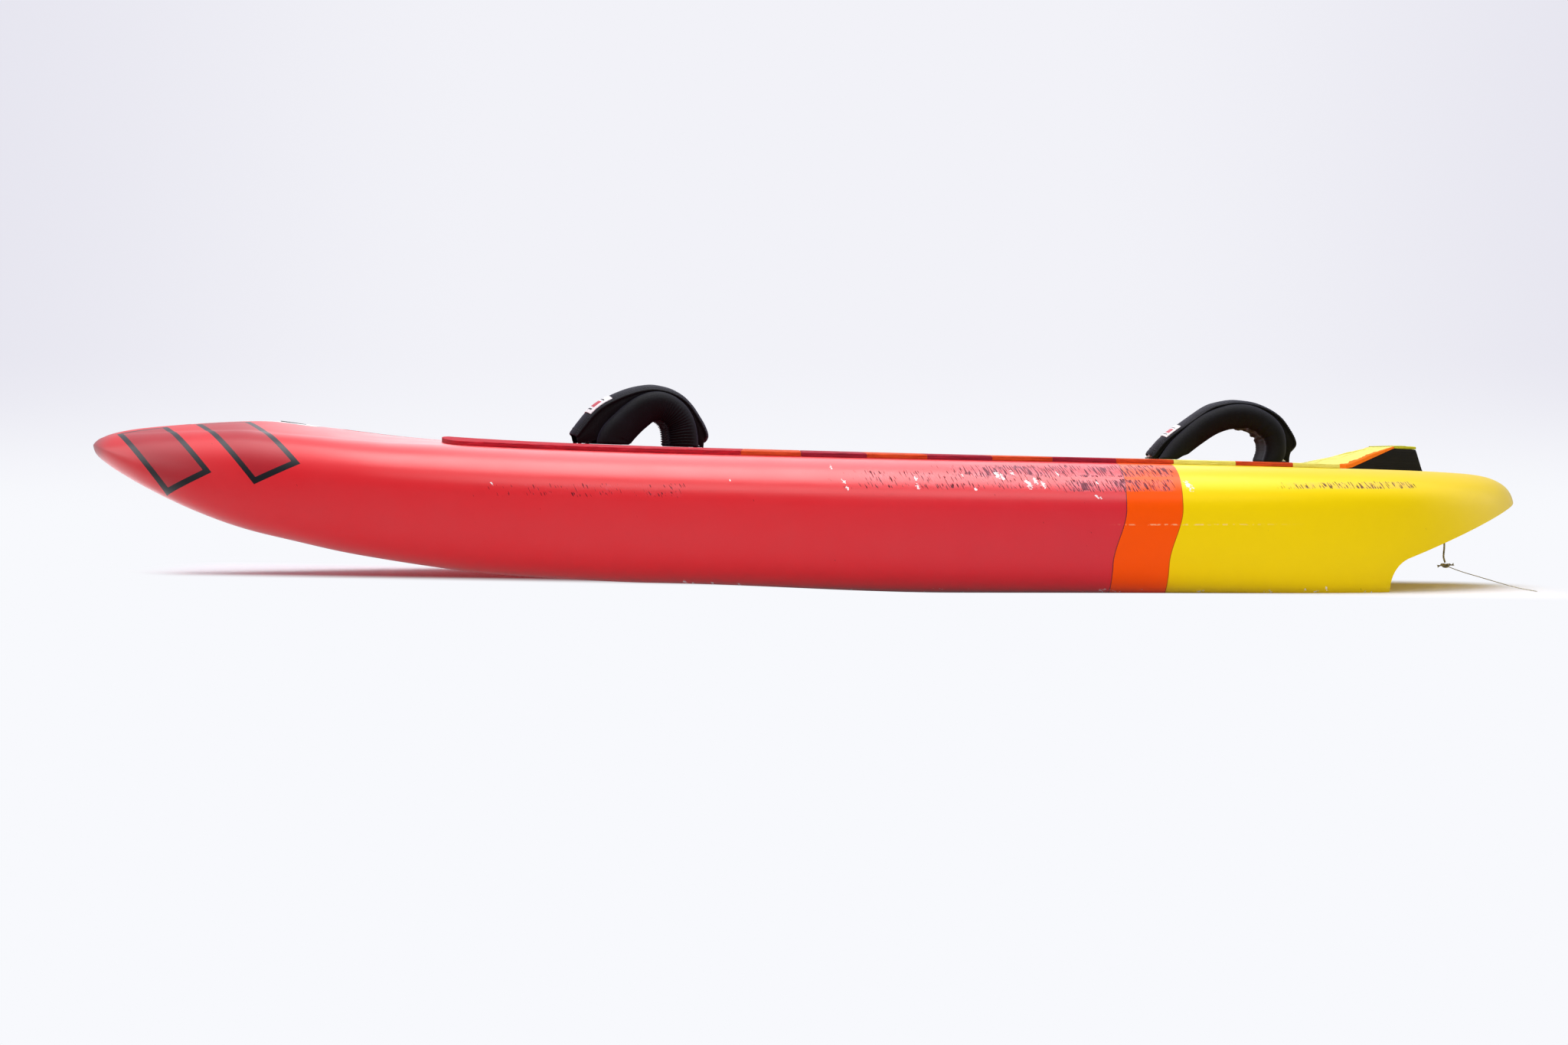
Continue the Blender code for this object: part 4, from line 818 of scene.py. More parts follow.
@dataclass(frozen=True)
class TwistedCord(Finish):
    """Polyester cord, twisted and long in the salt: dirty cream with olive grey in its grooves."""

    name: str = "polyester_cord_twisted"
    clean: str = "#d8d2b6"
    dirt: str = "#5e5a3c"

    def build(self, tree: Tree, shader: bpy.types.Node) -> None:
        """Adds the dirt and the fibres."""
        place = add(tree, "TexCoord", out="Object")
        patches = add(tree, "TexNoise", {"Vector": place, "Scale": 260.0, "Detail": 4.0, "Roughness": 0.7})
        share = add(tree, "MapRange", {0: patches, 1: 0.35, 2: 0.65})
        colour = add(tree, "Mix", {0: share, 6: linear(self.dirt), 7: linear(self.clean)}, **RGBA)
        tree.links.new(colour, shader.inputs["Base Color"])
        fibres = add(tree, "TexNoise", {"Vector": place, "Scale": 3000.0, "Detail": 2.0})
        bump = add(tree, "Bump", {"Height": fibres, "Distance": 0.0001, "Strength": 0.7})
        tree.links.new(bump, shader.inputs["Normal"])
        shader.inputs["Roughness"].default_value = 0.85
        shader.inputs["Sheen Weight"].default_value = 0.2


@dataclass(frozen=True)
class StudioPaper(Finish):
    """A seamless roll of white background paper: matte, with the board's shadow on it and a tone further out that is
    even but painted darker towards the upper corners as painted shade.
    """

    name: str = "background_paper_matte"
    colour: str = "#f2f0f6"
    floor_tone: str = "#f8f9fd"
    wall_tone: str = "#f2f2f8"
    corner_tone: str = "#e6e5ef"

    def build(self, tree: Tree, shader: bpy.types.Node) -> None:
        """Adds the paper's colour, and the tone that it shows to the camera and in the lacquer."""
        place = add(tree, "TexCoord", out="Object")
        x, y, z = (add(tree, "SeparateXYZ", {0: place}, out=k) for k in range(3))
        shader.inputs["Base Color"].default_value = linear(self.colour)
        shader.inputs["Roughness"].default_value = 0.95
        shader.inputs["Specular IOR Level"].default_value = 0.1
        # How far a point lies outside the band of floor that the board shades.
        aslant = add(tree, "Math", {0: x, 1: 0.3, 2: y}, operation="MULTIPLY_ADD")
        aslant = add(tree, "Math", {0: aslant, 1: 0.04}, operation="SUBTRACT")
        beyond = []
        for value, reach in ((x, 0.82), (aslant, 0.08)):
            off = add(tree, "Math", {0: value}, operation="ABSOLUTE")
            off = add(tree, "Math", {0: off, 1: reach}, operation="SUBTRACT")
            beyond.append(add(tree, "Math", {0: off, 1: 0.0}, operation="MAXIMUM"))
        away = add(tree, "CombineXYZ", {0: beyond[0], 1: beyond[1]})
        away = add(tree, "VectorMath", {0: away}, out="Value", operation="LENGTH")
        share = add(tree, "MapRange", {0: away, 1: 0.01, 2: 0.13}, **SMOOTH)
        rays = [add(tree, "LightPath", out=f"Is {kind} Ray") for kind in ("Camera", "Glossy", "Transmission")]
        seen = add(tree, "Math", {0: rays[0], 1: rays[1]}, operation="MAXIMUM")
        seen = add(tree, "Math", {0: seen, 1: rays[2]}, operation="MAXIMUM")
        share = add(tree, "Math", {0: share, 1: seen}, operation="MULTIPLY")
        share = add(tree, "Math", {0: share, 1: rays[1]}, operation="MAXIMUM")
        up = add(tree, "MapRange", {0: z, 1: 0.0, 2: 0.5}, **SMOOTH)
        tone = add(tree, "Mix", {0: up, 6: linear(self.floor_tone), 7: linear(self.wall_tone)}, **RGBA)
        # The tone is painted darker towards the upper outer corners: painted shade of the light falling off there.
        outer = add(tree, "Math", {0: x}, operation="ABSOLUTE")
        outer = add(tree, "MapRange", {0: outer, 1: 0.8, 2: 2.8}, **SMOOTH)
        outer = add(tree, "Math", {0: outer, 1: up}, operation="MULTIPLY")
        tone = add(tree, "Mix", {0: outer, 6: tone, 7: linear(self.corner_tone)}, **RGBA)
        # In the lacquer the floor in front of the board is dim and the wall behind it bright.
        mirrored = add(tree, "MapRange", {0: y, 1: -0.4, 2: 0.6, 3: 0.15, 4: 2.3}, **SMOOTH)
        aside = add(tree, "Math", {0: x}, operation="ABSOLUTE")
        aside = add(tree, "MapRange", {0: aside, 1: 1.0, 2: 1.9, 3: 1.0, 4: 0.3}, **SMOOTH)
        mirrored = add(tree, "Math", {0: mirrored, 1: aside}, operation="MULTIPLY")
        level = add(tree, "Mix", {0: rays[1], 2: 1.0, 3: mirrored}, data_type="FLOAT")
        glow = add(tree, "Emission", {"Color": tone, "Strength": level})
        mixed = add(tree, "MixShader", {0: share, 1: shader.outputs[0], 2: glow})
        tree.links.new(mixed, tree.nodes["Material Output"].inputs["Surface"])


# Hull.

# The board's lines from nose (0) to tail (1), as shares of its sizes.
LINES = {
    "plan": (
        (0, 0.044), (0.0055, 0.155), (0.0165, 0.265), (0.0385, 0.395), (0.066, 0.515), (0.11, 0.656),
        (0.165, 0.778), (0.23, 0.878), (0.33, 0.96), (0.44, 0.994), (0.52, 1), (0.615, 0.997),
        (0.725, 0.981), (0.802, 0.953), (0.857, 0.906), (0.896, 0.838), (0.929, 0.734), (0.956, 0.61),
        (0.975, 0.494), (0.989, 0.38), (0.9956, 0.285), (1, 0.17),
    ),
    "keel": (
        (0, 1.01), (0.0174, 0.913), (0.03, 0.844), (0.057, 0.706), (0.0946, 0.536), (0.13, 0.404),
        (0.164, 0.311), (0.196, 0.228), (0.228, 0.165), (0.259, 0.111), (0.292, 0.063), (0.341, 0.024),
        (0.407, 0), (1, 0),
    ),
    "vee": (
        (0, 0), (0.05, 0.1), (0.095, 0.25), (0.13, 0.42), (0.196, 0.75), (0.341, 1), (0.407, 0.92), (0.6, 0), (1, 0),
    ),
    "deck": (
        (0, 1.1), (0.011, 1.173), (0.042, 1.228), (0.124, 1.278), (0.157, 1.235), (0.2385, 1.13), (0.353, 1.059),
        (0.531, 1), (0.827, 0.914), (0.953, 0.862), (0.977, 0.825), (0.991, 0.76), (1, 0.69),
    ),
    "crown": (
        (0, 0.5), (0.05, 2.5), (0.12, 3.5), (0.2, 2.2), (0.29, 1), (0.5, 0.75), (0.7, 0.3), (0.85, 0.1), (1, 0.1),
    ),
    "apex": (
        (0, 0.5), (0.0385, 0.43), (0.11, 0.48), (0.165, 0.52), (0.23, 0.58), (0.33, 0.61), (0.714, 0.62),
        (0.88, 0.68), (1, 0.75),
    ),
    "tuck": (
        (0, 0.18), (0.055, 0.55), (0.165, 0.82), (0.33, 1), (0.5, 1), (0.66, 0.84), (0.77, 0.58), (0.88, 0.29),
        (1, 0.22),
    ),
}


@dataclass(frozen=True)
class HullSize:
    """Sizes of the hull in metres."""

    length: float = 1.82
    half_width: float = 0.32
    deck_height: float = 0.162
    nose_lift: float = 0.167
    v_depth: float = 0.012
    crown_depth: float = 0.004
    rail_width: float = 0.085
    rail_narrowing: float = 0.6
    rail_share: float = 0.7
    rail_tuck: float = 0.055
    skin: float = 0.0035
    step: float = 0.0325
    step_from_tail: float = 0.2125
    roof_slope: float = 0.35
    roof_fillet: float = 0.034
    nose_cap: float = 0.007
    tail_cap: float = 0.012


class Hull:
    """The painted shell: one loft with its tail space, its hollow and its pockets cut out."""

    def __init__(self, size: HullSize) -> None:
        """Reads and evens out the lines.

        Args:
            size: The hull's sizes.
        """
        self.size = size
        self.nose_x, self.tail_x = -size.length / 2, size.length / 2
        self.step_x = self.tail_x - size.step_from_tail
        self.shares = np.linspace(0, 1, 1201)
        self.tables = {name: self.evened(fair(points, self.shares)) for name, points in LINES.items()}

    def evened(self, values: np.ndarray) -> np.ndarray:
        """Takes the small kinks out of a line, less and less towards its ends."""
        reach = np.minimum(0.012 / self.size.length, 0.35 * np.minimum(self.shares, 1 - self.shares))
        result = values.copy()
        for i in range(2, len(values) - 2):
            weights = np.exp(-0.5 * ((self.shares - self.shares[i]) / reach[i]) ** 2)
            result[i] = (weights * values).sum() / weights.sum()
        return result

    def read(self, name: str, x: float | np.ndarray) -> float | np.ndarray:
        """Reads a line at a place along the board."""
        return np.interp((x - self.nose_x) / self.size.length, self.shares, self.tables[name])

    def half_width(self, x: float | np.ndarray) -> float | np.ndarray:
        """Half the board's width."""
        return self.size.half_width * self.read("plan", x)

    def shoulder(self, x: float | np.ndarray) -> float | np.ndarray:
        """Half the width of the deck's flat, inside the rails."""
        half = self.half_width(x)
        rail = self.size.rail_width * self.read("plan", x) ** self.size.rail_narrowing
        return half - np.minimum(rail, half * self.size.rail_share)

    def nose_rise(self, x: float | np.ndarray) -> float | np.ndarray:
        """How far the very tip is turned up."""
        return 0.004 * np.exp(-(x - self.nose_x) / 0.006)

    def deck_z(self, x: float | np.ndarray, y: float | np.ndarray = 0.0) -> float | np.ndarray:
        """Height of the deck's flat part."""
        sag = self.size.crown_depth * self.read("crown", x) * (y / self.shoulder(x)) ** 2
        return self.size.deck_height * self.read("deck", x) - sag

    def roof_z(self, x: float) -> float:
        """Height of the cutaway's roof."""
        return self.size.step + self.size.roof_slope * (x - self.step_x)

    def rail(self, x: float, steps: int) -> np.ndarray:
        """(y, z) points of the rail over its widest line, from there in to the deck's flat."""
        half, flat = self.half_width(x), self.shoulder(x)
        low = self.size.nose_lift * self.read("keel", x) + self.size.v_depth * self.read("vee", x)
        top = self.deck_z(x, flat)
        mid = low + (self.deck_z(x) - low) * self.read("apex", x)
        pull = 0.2 + 0.8 * ease((x - self.nose_x) / self.size.length, 0.004, 0.06)
        pulls = ((half, mid + 0.62 * pull * (top - mid)), (half - 0.45 * (half - flat), top))
        return cubic(((half, mid), *pulls, (flat, top)), steps)

    def section(self, x: float) -> np.ndarray:
        """(y, z) points of half a section, from the keel out and up to the middle of the deck."""
        half, flat = self.half_width(x), self.shoulder(x)
        keel = self.size.nose_lift * self.read("keel", x)
        low = keel + self.size.v_depth * self.read("vee", x)
        mid = low + (self.deck_z(x) - low) * self.read("apex", x)
        edge = half - self.size.rail_tuck * self.read("tuck", x)
        pull = 0.2 + 0.8 * ease((x - self.nose_x) / self.size.length, 0.004, 0.06)
        bottom = [(edge * t, keel + (low - keel) * t) for t in np.linspace(0, 1, 9)[:-1]]
        lead = (half - 0.25 * (half - edge), low + 0.15 * (mid - low))
        tuck = cubic(((edge, low), lead, (half, mid - 0.55 * pull * (mid - low)), (half, mid)), 13)
        deck = [(flat * t, self.deck_z(x, flat * t)) for t in np.linspace(1, 0, 15)[1:]]
        return np.vstack([bottom, tuck[:-1], self.rail(x, 19), deck])

    def surface_z(self, x: float, y: np.ndarray) -> np.ndarray:
        """Height of the painted upper surface, out over the rails.

        Args:
            x: One place along the board.
            y: Places across it.

        Returns:
            The heights.
        """
        rail = self.rail(x, 40)[::-1]
        away = np.abs(y)
        return np.where(away <= rail[0, 0], self.deck_z(x, away), np.interp(away, rail[:, 0], rail[:, 1]))

    def normal(self, x: float, y: float) -> Vector:
        """The deck's unit normal."""
        reach = 0.005
        along = (self.deck_z(x + reach, y) - self.deck_z(x - reach, y)) / (2 * reach)
        over = (self.deck_z(x, y + reach) - self.deck_z(x, y - reach)) / (2 * reach)
        return Vector((-along, -over, 1)).normalized()

    def stations(self, count: int) -> np.ndarray:
        """Places along the board for sections, closer together at its ends."""
        share = np.linspace(0, 1, count)
        eased = 0.35 * share + 0.65 * (0.5 - 0.5 * np.cos(math.pi * share))
        middle = self.nose_x + self.size.length * eased
        front, back = self.size.nose_cap, self.size.tail_cap
        turns = np.linspace(0.03, math.pi / 2, 11)
        nose = self.nose_x + front * (1 - np.cos(turns))
        tail = self.tail_x - back * (1 - np.cos(turns[::-1]))
        keep = (middle > self.nose_x + front * 1.15) & (middle < self.tail_x - back * 1.15)
        return np.concatenate([nose, middle[keep], tail])

    def ring(self, x: float, inset: float = 0.0) -> np.ndarray:
        """One closed section, rounded off towards both ends and moved in by a distance."""
        half = self.section(x)
        if inset > 0:
            step = np.gradient(half, axis=0)
            into = np.column_stack([-step[:, 1], step[:, 0]])
            half = half + inset * into / np.maximum(np.linalg.norm(into, axis=1), 1e-9)[:, None]
            half[[0, -1], 0] = 0.0
            half[:, 0] = np.maximum(half[:, 0], 0.0)
        front = min((x - self.nose_x) / self.size.nose_cap, 1)
        back = min((self.tail_x - x) / self.size.tail_cap, 1)
        shrink = math.sqrt(max(1 - (1 - front) ** 2, 1e-6)) * math.sqrt(max(1 - (1 - back) ** 2, 1e-6))
        middle = 0.1735 if x < 0 else 0.1095
        half = np.column_stack([half[:, 0] * shrink, middle + (half[:, 1] - middle) * shrink + self.nose_rise(x)])
        whole = np.vstack([half, half[-2:0:-1] * (-1, 1)])
        return np.column_stack([np.full(len(whole), x), whole])

    def tail_space(self, grow: float) -> Object:
        """The wedge of space under the tail, with its fillet, grown by a distance."""
        size = self.size
        slope = math.atan(size.roof_slope)
        drop = size.roof_fillet / math.tan((math.pi / 2 + slope) / 2)
        centre = np.array([self.step_x + size.roof_fillet, size.step - drop])
        turns = math.pi - (math.pi / 2 - slope) * np.linspace(0, 1, 25)
        arc = centre + (size.roof_fillet + grow) * np.column_stack([np.cos(turns), np.sin(turns)])
        beyond, under = self.tail_x + 0.16, -0.16
        far_z = self.roof_z(beyond) + grow / math.cos(slope)
        outline = np.vstack([[self.step_x - grow, under], arc, [beyond, far_z], [beyond, under]])
        rings = [np.column_stack([outline[:, 0], np.full(len(outline), y), outline[:, 1]]) for y in (-0.6, 0.6)]
        return loft("tail_space", rings)

    def build(self, pockets: Sequence[Object]) -> Object:
        """Makes the shell.

        Args:
            pockets: Cutters for the fittings that are let into it.

        Returns:
            The finished shell.
        """
        shell = loft("hull_shell", [self.ring(x) for x in self.stations(240)])
        cutters = [self.tail_space(0.0), *pockets]
        places = np.linspace(self.nose_x + 0.03, self.tail_x - 0.02, 60)
        hollow = loft("hollow", [self.ring(x, self.size.skin)[::2] for x in places])
        subtract(hollow, [self.tail_space(self.size.skin)])
        cutters.insert(1, hollow)
        subtract(shell, cutters)
        shell.data.shade_smooth()
        shell.data.set_sharp_from_angle(angle=math.radians(28))
        return dress(shell, SprayedLacquer(), "coral_lacquer", "deck_skin", "bottom_skin")


def cubic(corners: Sequence[tuple[float, float]], steps: int) -> np.ndarray:
    """Points of a cubic through its first and last corner, both of them included."""
    t = np.linspace(0, 1, steps)[:, None]
    a, b, c, d = (np.array(corner, float) for corner in corners)
    return (1 - t) ** 3 * a + 3 * t * (1 - t) ** 2 * b + 3 * t * t * (1 - t) * c + t**3 * d


def rod(name: str, radius: float, low: float, high: float, place: Matrix, sides: int = 48) -> Object:
    """Makes a solid rod along its own Z, put in place by a matrix."""
    turns = np.linspace(0, 2 * math.pi, sides, endpoint=False)
    rings = [np.column_stack([radius * np.cos(turns), radius * np.sin(turns), np.full(sides, z)]) for z in (low, high)]
    made = loft(name, rings, 40)
    made.data.transform(place)
    return made


def block(name: str, size: Sequence[float], centre: Sequence[float], place: Matrix) -> Object:
    """Makes a plain block, put in place by a matrix."""
    x, y = size[0] / 2, size[1] / 2
    corners = ((-x, -y), (x, -y), (x, y), (-x, y))
    rings = [np.array([(a, b, z) for a, b in corners]) + np.array(centre) for z in (-size[2] / 2, size[2] / 2)]
    made = loft(name, rings, 40)
    made.data.transform(place)
    return made


def axes_matrix(origin: Vector, x_axis: Vector, z_axis: Vector) -> Matrix:
    """A frame from its origin, its Z, and about where its X points."""
    z_axis = z_axis.normalized()
    x_axis = (x_axis - z_axis * x_axis.dot(z_axis)).normalized()
    matrix = Matrix((x_axis, z_axis.cross(x_axis), z_axis)).transposed().to_4x4()
    matrix.translation = origin
    return matrix


# Deck pad and kick.


def edge_height(away: np.ndarray, full: float, radius: float) -> np.ndarray:
    """Height of a sheet with a rounded edge, by the distance from that edge."""
    left = np.clip(1 - away / radius, 0, 1)
    return full - radius * (1 - np.sqrt(np.maximum(1 - left**2, 0)))


def across_points(half: float, radius: float, count: int) -> np.ndarray:
    """Places across a sheet from edge to edge, closer together at both edges."""
    near = radius * np.array([0, 0.06, 0.2, 0.42, 0.72, 1.1, 2.2]) * min(1.0, half / (4 * radius))
    inner = np.linspace(-(half - near[-1]), half - near[-1], count)
    return np.concatenate([-(half - near[:-1]), inner, (half - near[:-1])[::-1]])


@dataclass
class DeckPad:
    """The glued EVA pad: a red field and crosswise strips."""

    hull: Hull
    front_x: float = -0.452
    rear_x: float = 0.651
    inset: float = 0.078
    front_round: float = 0.06
    tip_half: float = 0.004
    edge_radius: float = 0.0012
    strips: tuple[tuple[str, float], ...] = (
        ("yellow_2", 0.059), ("vermilion", 0.070), ("yellow_1", 0.075), ("orange_4", 0.069), ("crimson_3", 0.076),
        ("orange_3", 0.072), ("crimson_2", 0.077), ("orange_2", 0.072), ("crimson_1", 0.078), ("orange_1", 0.072),
    )

    def half_width(self, x: np.ndarray) -> np.ndarray:
        """Half the pad's width."""
        left = np.maximum(0, 1 - (x - self.front_x) / self.front_round)
        width = (self.hull.half_width(x) - self.inset) * np.sqrt(np.maximum(1 - left**2.5, 0))
        return np.maximum(width, self.tip_half)

    def sheet(self, name: str, front: float, rear: float) -> Object:
        """One strip of foam that follows the deck.

        Args:
            name: The piece's name.
            front: Where it starts.
            rear: Where it ends.

        Returns:
            The strip.
        """
        r = self.edge_radius
        ends = r * np.array([0, 0.06, 0.2, 0.42, 0.72, 1.1])
        if front == self.front_x:
            lead = np.array([0, 0.00008, 0.0003, 0.0007, 0.0013, 0.0022, 0.0035, 0.0055, 0.008, 0.012, 0.018, 0.026, 0.036])
            inner = np.linspace(front + 0.048, rear - 0.003, 60)
        else:
            lead = ends
            inner = np.linspace(front + 0.003, rear - 0.003, 9)
        xs = np.concatenate([front + lead, inner, rear - ends[::-1]])
        line_x = np.concatenate([front + (rear - front) * np.linspace(0, 1, 400) ** 2.2])
        line_y = self.half_width(line_x)
        tops, lows = [], []
        for x in xs:
            ys = across_points(float(self.half_width(x)), r, 41)
            base = self.hull.surface_z(x, ys)
            rise = np.sqrt(1 + np.gradient(base, ys) ** 2)
            side = np.hypot(line_x[:, None] - x, line_y[:, None] - np.abs(ys)[None, :]).min(axis=0)
            away = np.minimum(side, min(rear - x, 1.0))
            if front != self.front_x:
                away = np.minimum(away, x - front)
            high = edge_height(away, PAD_THICKNESS, r)
            wave = np.array([noise.noise(Vector((x * 60, y * 60, 0))) for y in ys]) * 0.00012
            edge = np.exp(-side / 0.004) * np.array([noise.noise(Vector((x * 85, y * 20, 7))) for y in ys]) * 0.0003
            tops.append(np.column_stack([np.full(len(ys), x), ys, base + (GAP + high + wave + edge) * rise]))
            lows.append(np.column_stack([np.full(len(ys), x), ys, base + GAP * rise]))
        return slab(name, np.array(tops), np.array(lows), 50)

    def build(self) -> None:
        """Makes and dresses every strip."""
        aft = self.rear_x
        for name, length in (*self.strips, ("red", 0.0)):
            front = aft - length if length else self.front_x
            kind = name.split("_")[0]
            sheet = self.sheet("pad_" + name, front, aft - GAP)
            dress(sheet, PAD_FINISHES[kind], "pad_" + kind, "deck_pad_" + name)
            aft = front


PAD_FINISHES = {
    "red": CutEva("eva_red_milled", "#cf1f33", "#8a1226", 0.024),
    "orange": CutEva("eva_orange_milled", "#e4521e", "#a83410", 0.024),
    "crimson": CutEva("eva_crimson_milled", "#b02039", "#6e1024", 0.024),
    "yellow": CutEva("eva_pale_yellow_milled", "#f6ef86", "#d9cd52", 0.024),
    "vermilion": CutEva("eva_vermilion_milled", "#e2501c", "#a52d10", 0.024),
    "lime": CutEva("eva_lime_milled", "#d5d23a", "#8d9420", 0.0),
    "black": CutEva("eva_black_milled", "#0c0d12", "#1c1d26", 0.0, 0.5),
}
KICK_EDGE = CutEva("eva_pale_yellow_over_orange", "#f6ef86", "#d9cd52", 0.0, 0.6, "#f07818", 0.0555)


@dataclass
class KickPad:
    """The raised wedge in front of the tail and the strips over it."""

    hull: Hull
    front_x: float = 0.661
    half_width: float = 0.06
    centre_half: float = 0.034
    slope: float = 0.0975
    height: float = 0.0276
    lip: float = 0.0015
    toe: float = 0.008
    top: float = 0.028
    back: float = 0.0085
    front_sweep: float = 0.0444
    groove: float = 0.0055
    groove_depth: float = 0.0004
    top_share: float = 0.72  # thickness of the strip on the crest, as a share of the pad's
    crest_share: float = 0.5  # the same of the slope's strips where they reach the crest

    def corners(self, y: float) -> np.ndarray:
        """(x, z) of the wedge's foot, crest, back and heel at a place across it."""
        foot = self.front_x + self.front_sweep * (y / self.half_width) ** 2
        crest = self.front_x + self.slope
        back = crest + self.top
        heel = back + self.back
        lifts = (self.lip, self.height, self.height, 0.0)
        return np.array([(x, self.hull.deck_z(x, y) + up) for x, up in zip((foot, crest, back, heel), lifts)])

    def wedge(self) -> Object:
        """The black block of foam, with softened edges."""
        tops, lows = [], []
        for y in across_points(self.half_width, 0.0012, 61):
            foot, crest, back, heel = self.corners(y)
            xs = np.concatenate([
                np.linspace(foot[0], crest[0] - 0.003, 14), crest[0] + np.linspace(-0.002, 0.002, 5),
                back[0] + np.linspace(-0.002, 0.0015, 5), np.linspace(back[0] + 0.0025, heel[0], 4),
            ])
            known = np.array([foot, crest, back, heel])
            top = np.interp(xs, known[:, 0], known[:, 1])
            for corner in (crest, back):
                near = np.abs(xs - corner[0])
                top -= 0.0006 * np.clip(1 - near / 0.0022, 0, 1) ** 2
            low = self.hull.deck_z(xs, y) + GAP
            side = self.half_width - abs(y)
            top = np.maximum(top - (0.0012 - (edge_height(np.array([side]), 0.0012, 0.0012)[0])), low + 0.0003)
            tops.append(np.column_stack([xs, np.full(len(xs), y), top]))
            lows.append(np.column_stack([xs, np.full(len(xs), y), low]))
        return slab("kick_block", np.array(tops), np.array(lows), 40)

    def strip(self, name: str, low_y: float, high_y: float, on_top: bool) -> Object:
        """One strip over the wedge, grooved across on its upper side.

        Args:
            name: The piece's name.
            low_y: Its port edge.
            high_y: Its starboard edge.
            on_top: Whether it lies on the crest instead of on the slope.

        Returns:
            The strip.
        """
        middle, half = (low_y + high_y) / 2, (high_y - low_y) / 2
        tops, lows = [], []
        for y in middle + across_points(half, 0.0012, 33):
            foot, crest, back, _ = self.corners(y)
            if on_top:
                line = np.array([(crest[0] + GAP, crest[1]), (back[0], back[1])])
            else:
                start = foot[0] - self.toe
                line = np.array([(start, self.hull.deck_z(start, y)), tuple(foot), tuple(crest)])
            run = run_along(line)
            ends = 0.0012 * np.array([0, 0.06, 0.2, 0.42, 0.72, 1.1])
            at = np.concatenate([ends, np.linspace(0.003, run[-1] - 0.003, 20 if on_top else 130), run[-1] - ends[::-1]])
            xs, zs = np.interp(at, run, line[:, 0]), np.interp(at, run, line[:, 1])
            away = np.minimum(np.minimum(at, run[-1] - at), half - abs(y - middle))
            high = edge_height(away, PAD_THICKNESS, 0.0012)
            slope_share = np.interp(at / run[-1], (0.15, 0.7) if low_y < 0 < high_y else (0.6, 1.0), (1.05, self.crest_share))
            high = high * (self.top_share if on_top else slope_share)
            phase = at / self.groove + 0.6 * noise.noise(Vector((y * 9, 3, 1)))
            cut = np.clip(np.cos(2 * math.pi * phase) * 1.6 - 0.6, 0, 1)
            ragged = np.array([noise.noise(Vector((x * 210, y * 60, 2))) for x in xs]) * 0.0005
            high = high - self.groove_depth * cut * np.clip(away / 0.002, 0, 1)
            high = high + ragged * np.exp(-(half - abs(y - middle)) / 0.006)
            tops.append(np.column_stack([xs, np.full(len(xs), y), zs + GAP + high]))
            lows.append(np.column_stack([xs, np.full(len(xs), y), zs + GAP]))
        return slab(name, np.array(tops), np.array(lows), 50)

    def build(self) -> None:
        """Makes and dresses the wedge and its strips."""
        dress(self.wedge(), PAD_FINISHES["black"], "black_eva", "kick_wedge")
        edge = self.half_width
        inner = self.centre_half
        port = self.strip("kick_strip_port", -edge, -inner - GAP, False)
        dress(port, KICK_EDGE, "pad_orange", "kick_slope_port")
        centre = self.strip("kick_strip_centre", -inner, inner, False)
        dress(centre, PAD_FINISHES["yellow"], "pad_yellow", "kick_slope_centre")
        starboard = self.strip("kick_strip_starboard", inner + GAP, edge, False)
        dress(starboard, KICK_EDGE, "pad_orange", "kick_slope_starboard")
        dress(self.strip("kick_strip_top", -edge, edge, True), PAD_FINISHES["lime"], "pad_lime", "kick_top")


# Footstraps.


@dataclass(frozen=True)
class StrapSize:
    """One footstrap: its place on the board, and its lines over the pad as (x, z) from the fore foot to the aft foot."""

    name: str
    x: float
    turn: float
    rolls: tuple[tuple[float, float], ...]
    crown: tuple[tuple[float, float], ...]
    droop: float
    rib_depth: float
    lumps: float
    label: tuple[float, float]
    depth: tuple[tuple[float, float], ...]
    roll: float = 0.0125
    width: float = 0.084
    reach: float = 0.07
    cover_width: float = 0.062
    cover_thickness: float = 0.0025
    end_droop: float = 0.0072
    end_share: float = 0.72


FRONT_ROLLS = (
    (-0.0448, 0), (-0.0425, 0.0099), (-0.0365, 0.0195), (-0.0264, 0.0305), (-0.0141, 0.0418), (0.0016, 0.0528),
    (0.0169, 0.0577), (0.0307, 0.0564), (0.0428, 0.0500), (0.0529, 0.0396), (0.0595, 0.0255), (0.0636, 0),
)
FRONT_CROWN = (
    (-0.0884, 0.0130), (-0.0777, 0.0282), (-0.0653, 0.0434), (-0.0515, 0.0554), (-0.0311, 0.0667),
    (-0.0137, 0.0738), (0.0032, 0.0784), (0.0201, 0.0797), (0.0392, 0.0763), (0.0565, 0.0684),
    (0.0702, 0.0565), (0.0830, 0.0391), (0.0911, 0.0253), (0.0939, 0.0148), (0.0905, 0.0063),
)
REAR_ROLLS = (
    (-0.0733, 0), (-0.0507, 0.0249), (-0.0232, 0.0482), (0.0011, 0.0592), (0.0208, 0.0612), (0.0372, 0.0577),
    (0.0536, 0.0482), (0.0638, 0.0344), (0.0660, 0.0151), (0.0612, 0),
)
REAR_CROWN = (
    (-0.0967, 0.0075), (-0.0785, 0.0282), (-0.0527, 0.0487), (-0.0253, 0.0690), (-0.0082, 0.0762), (0.0142, 0.0799),
    (0.0399, 0.0771), (0.0605, 0.0693), (0.0759, 0.0586), (0.0879, 0.0435), (0.0948, 0.0310), (0.0958, 0.0216),
    (0.0889, 0.0118),
)
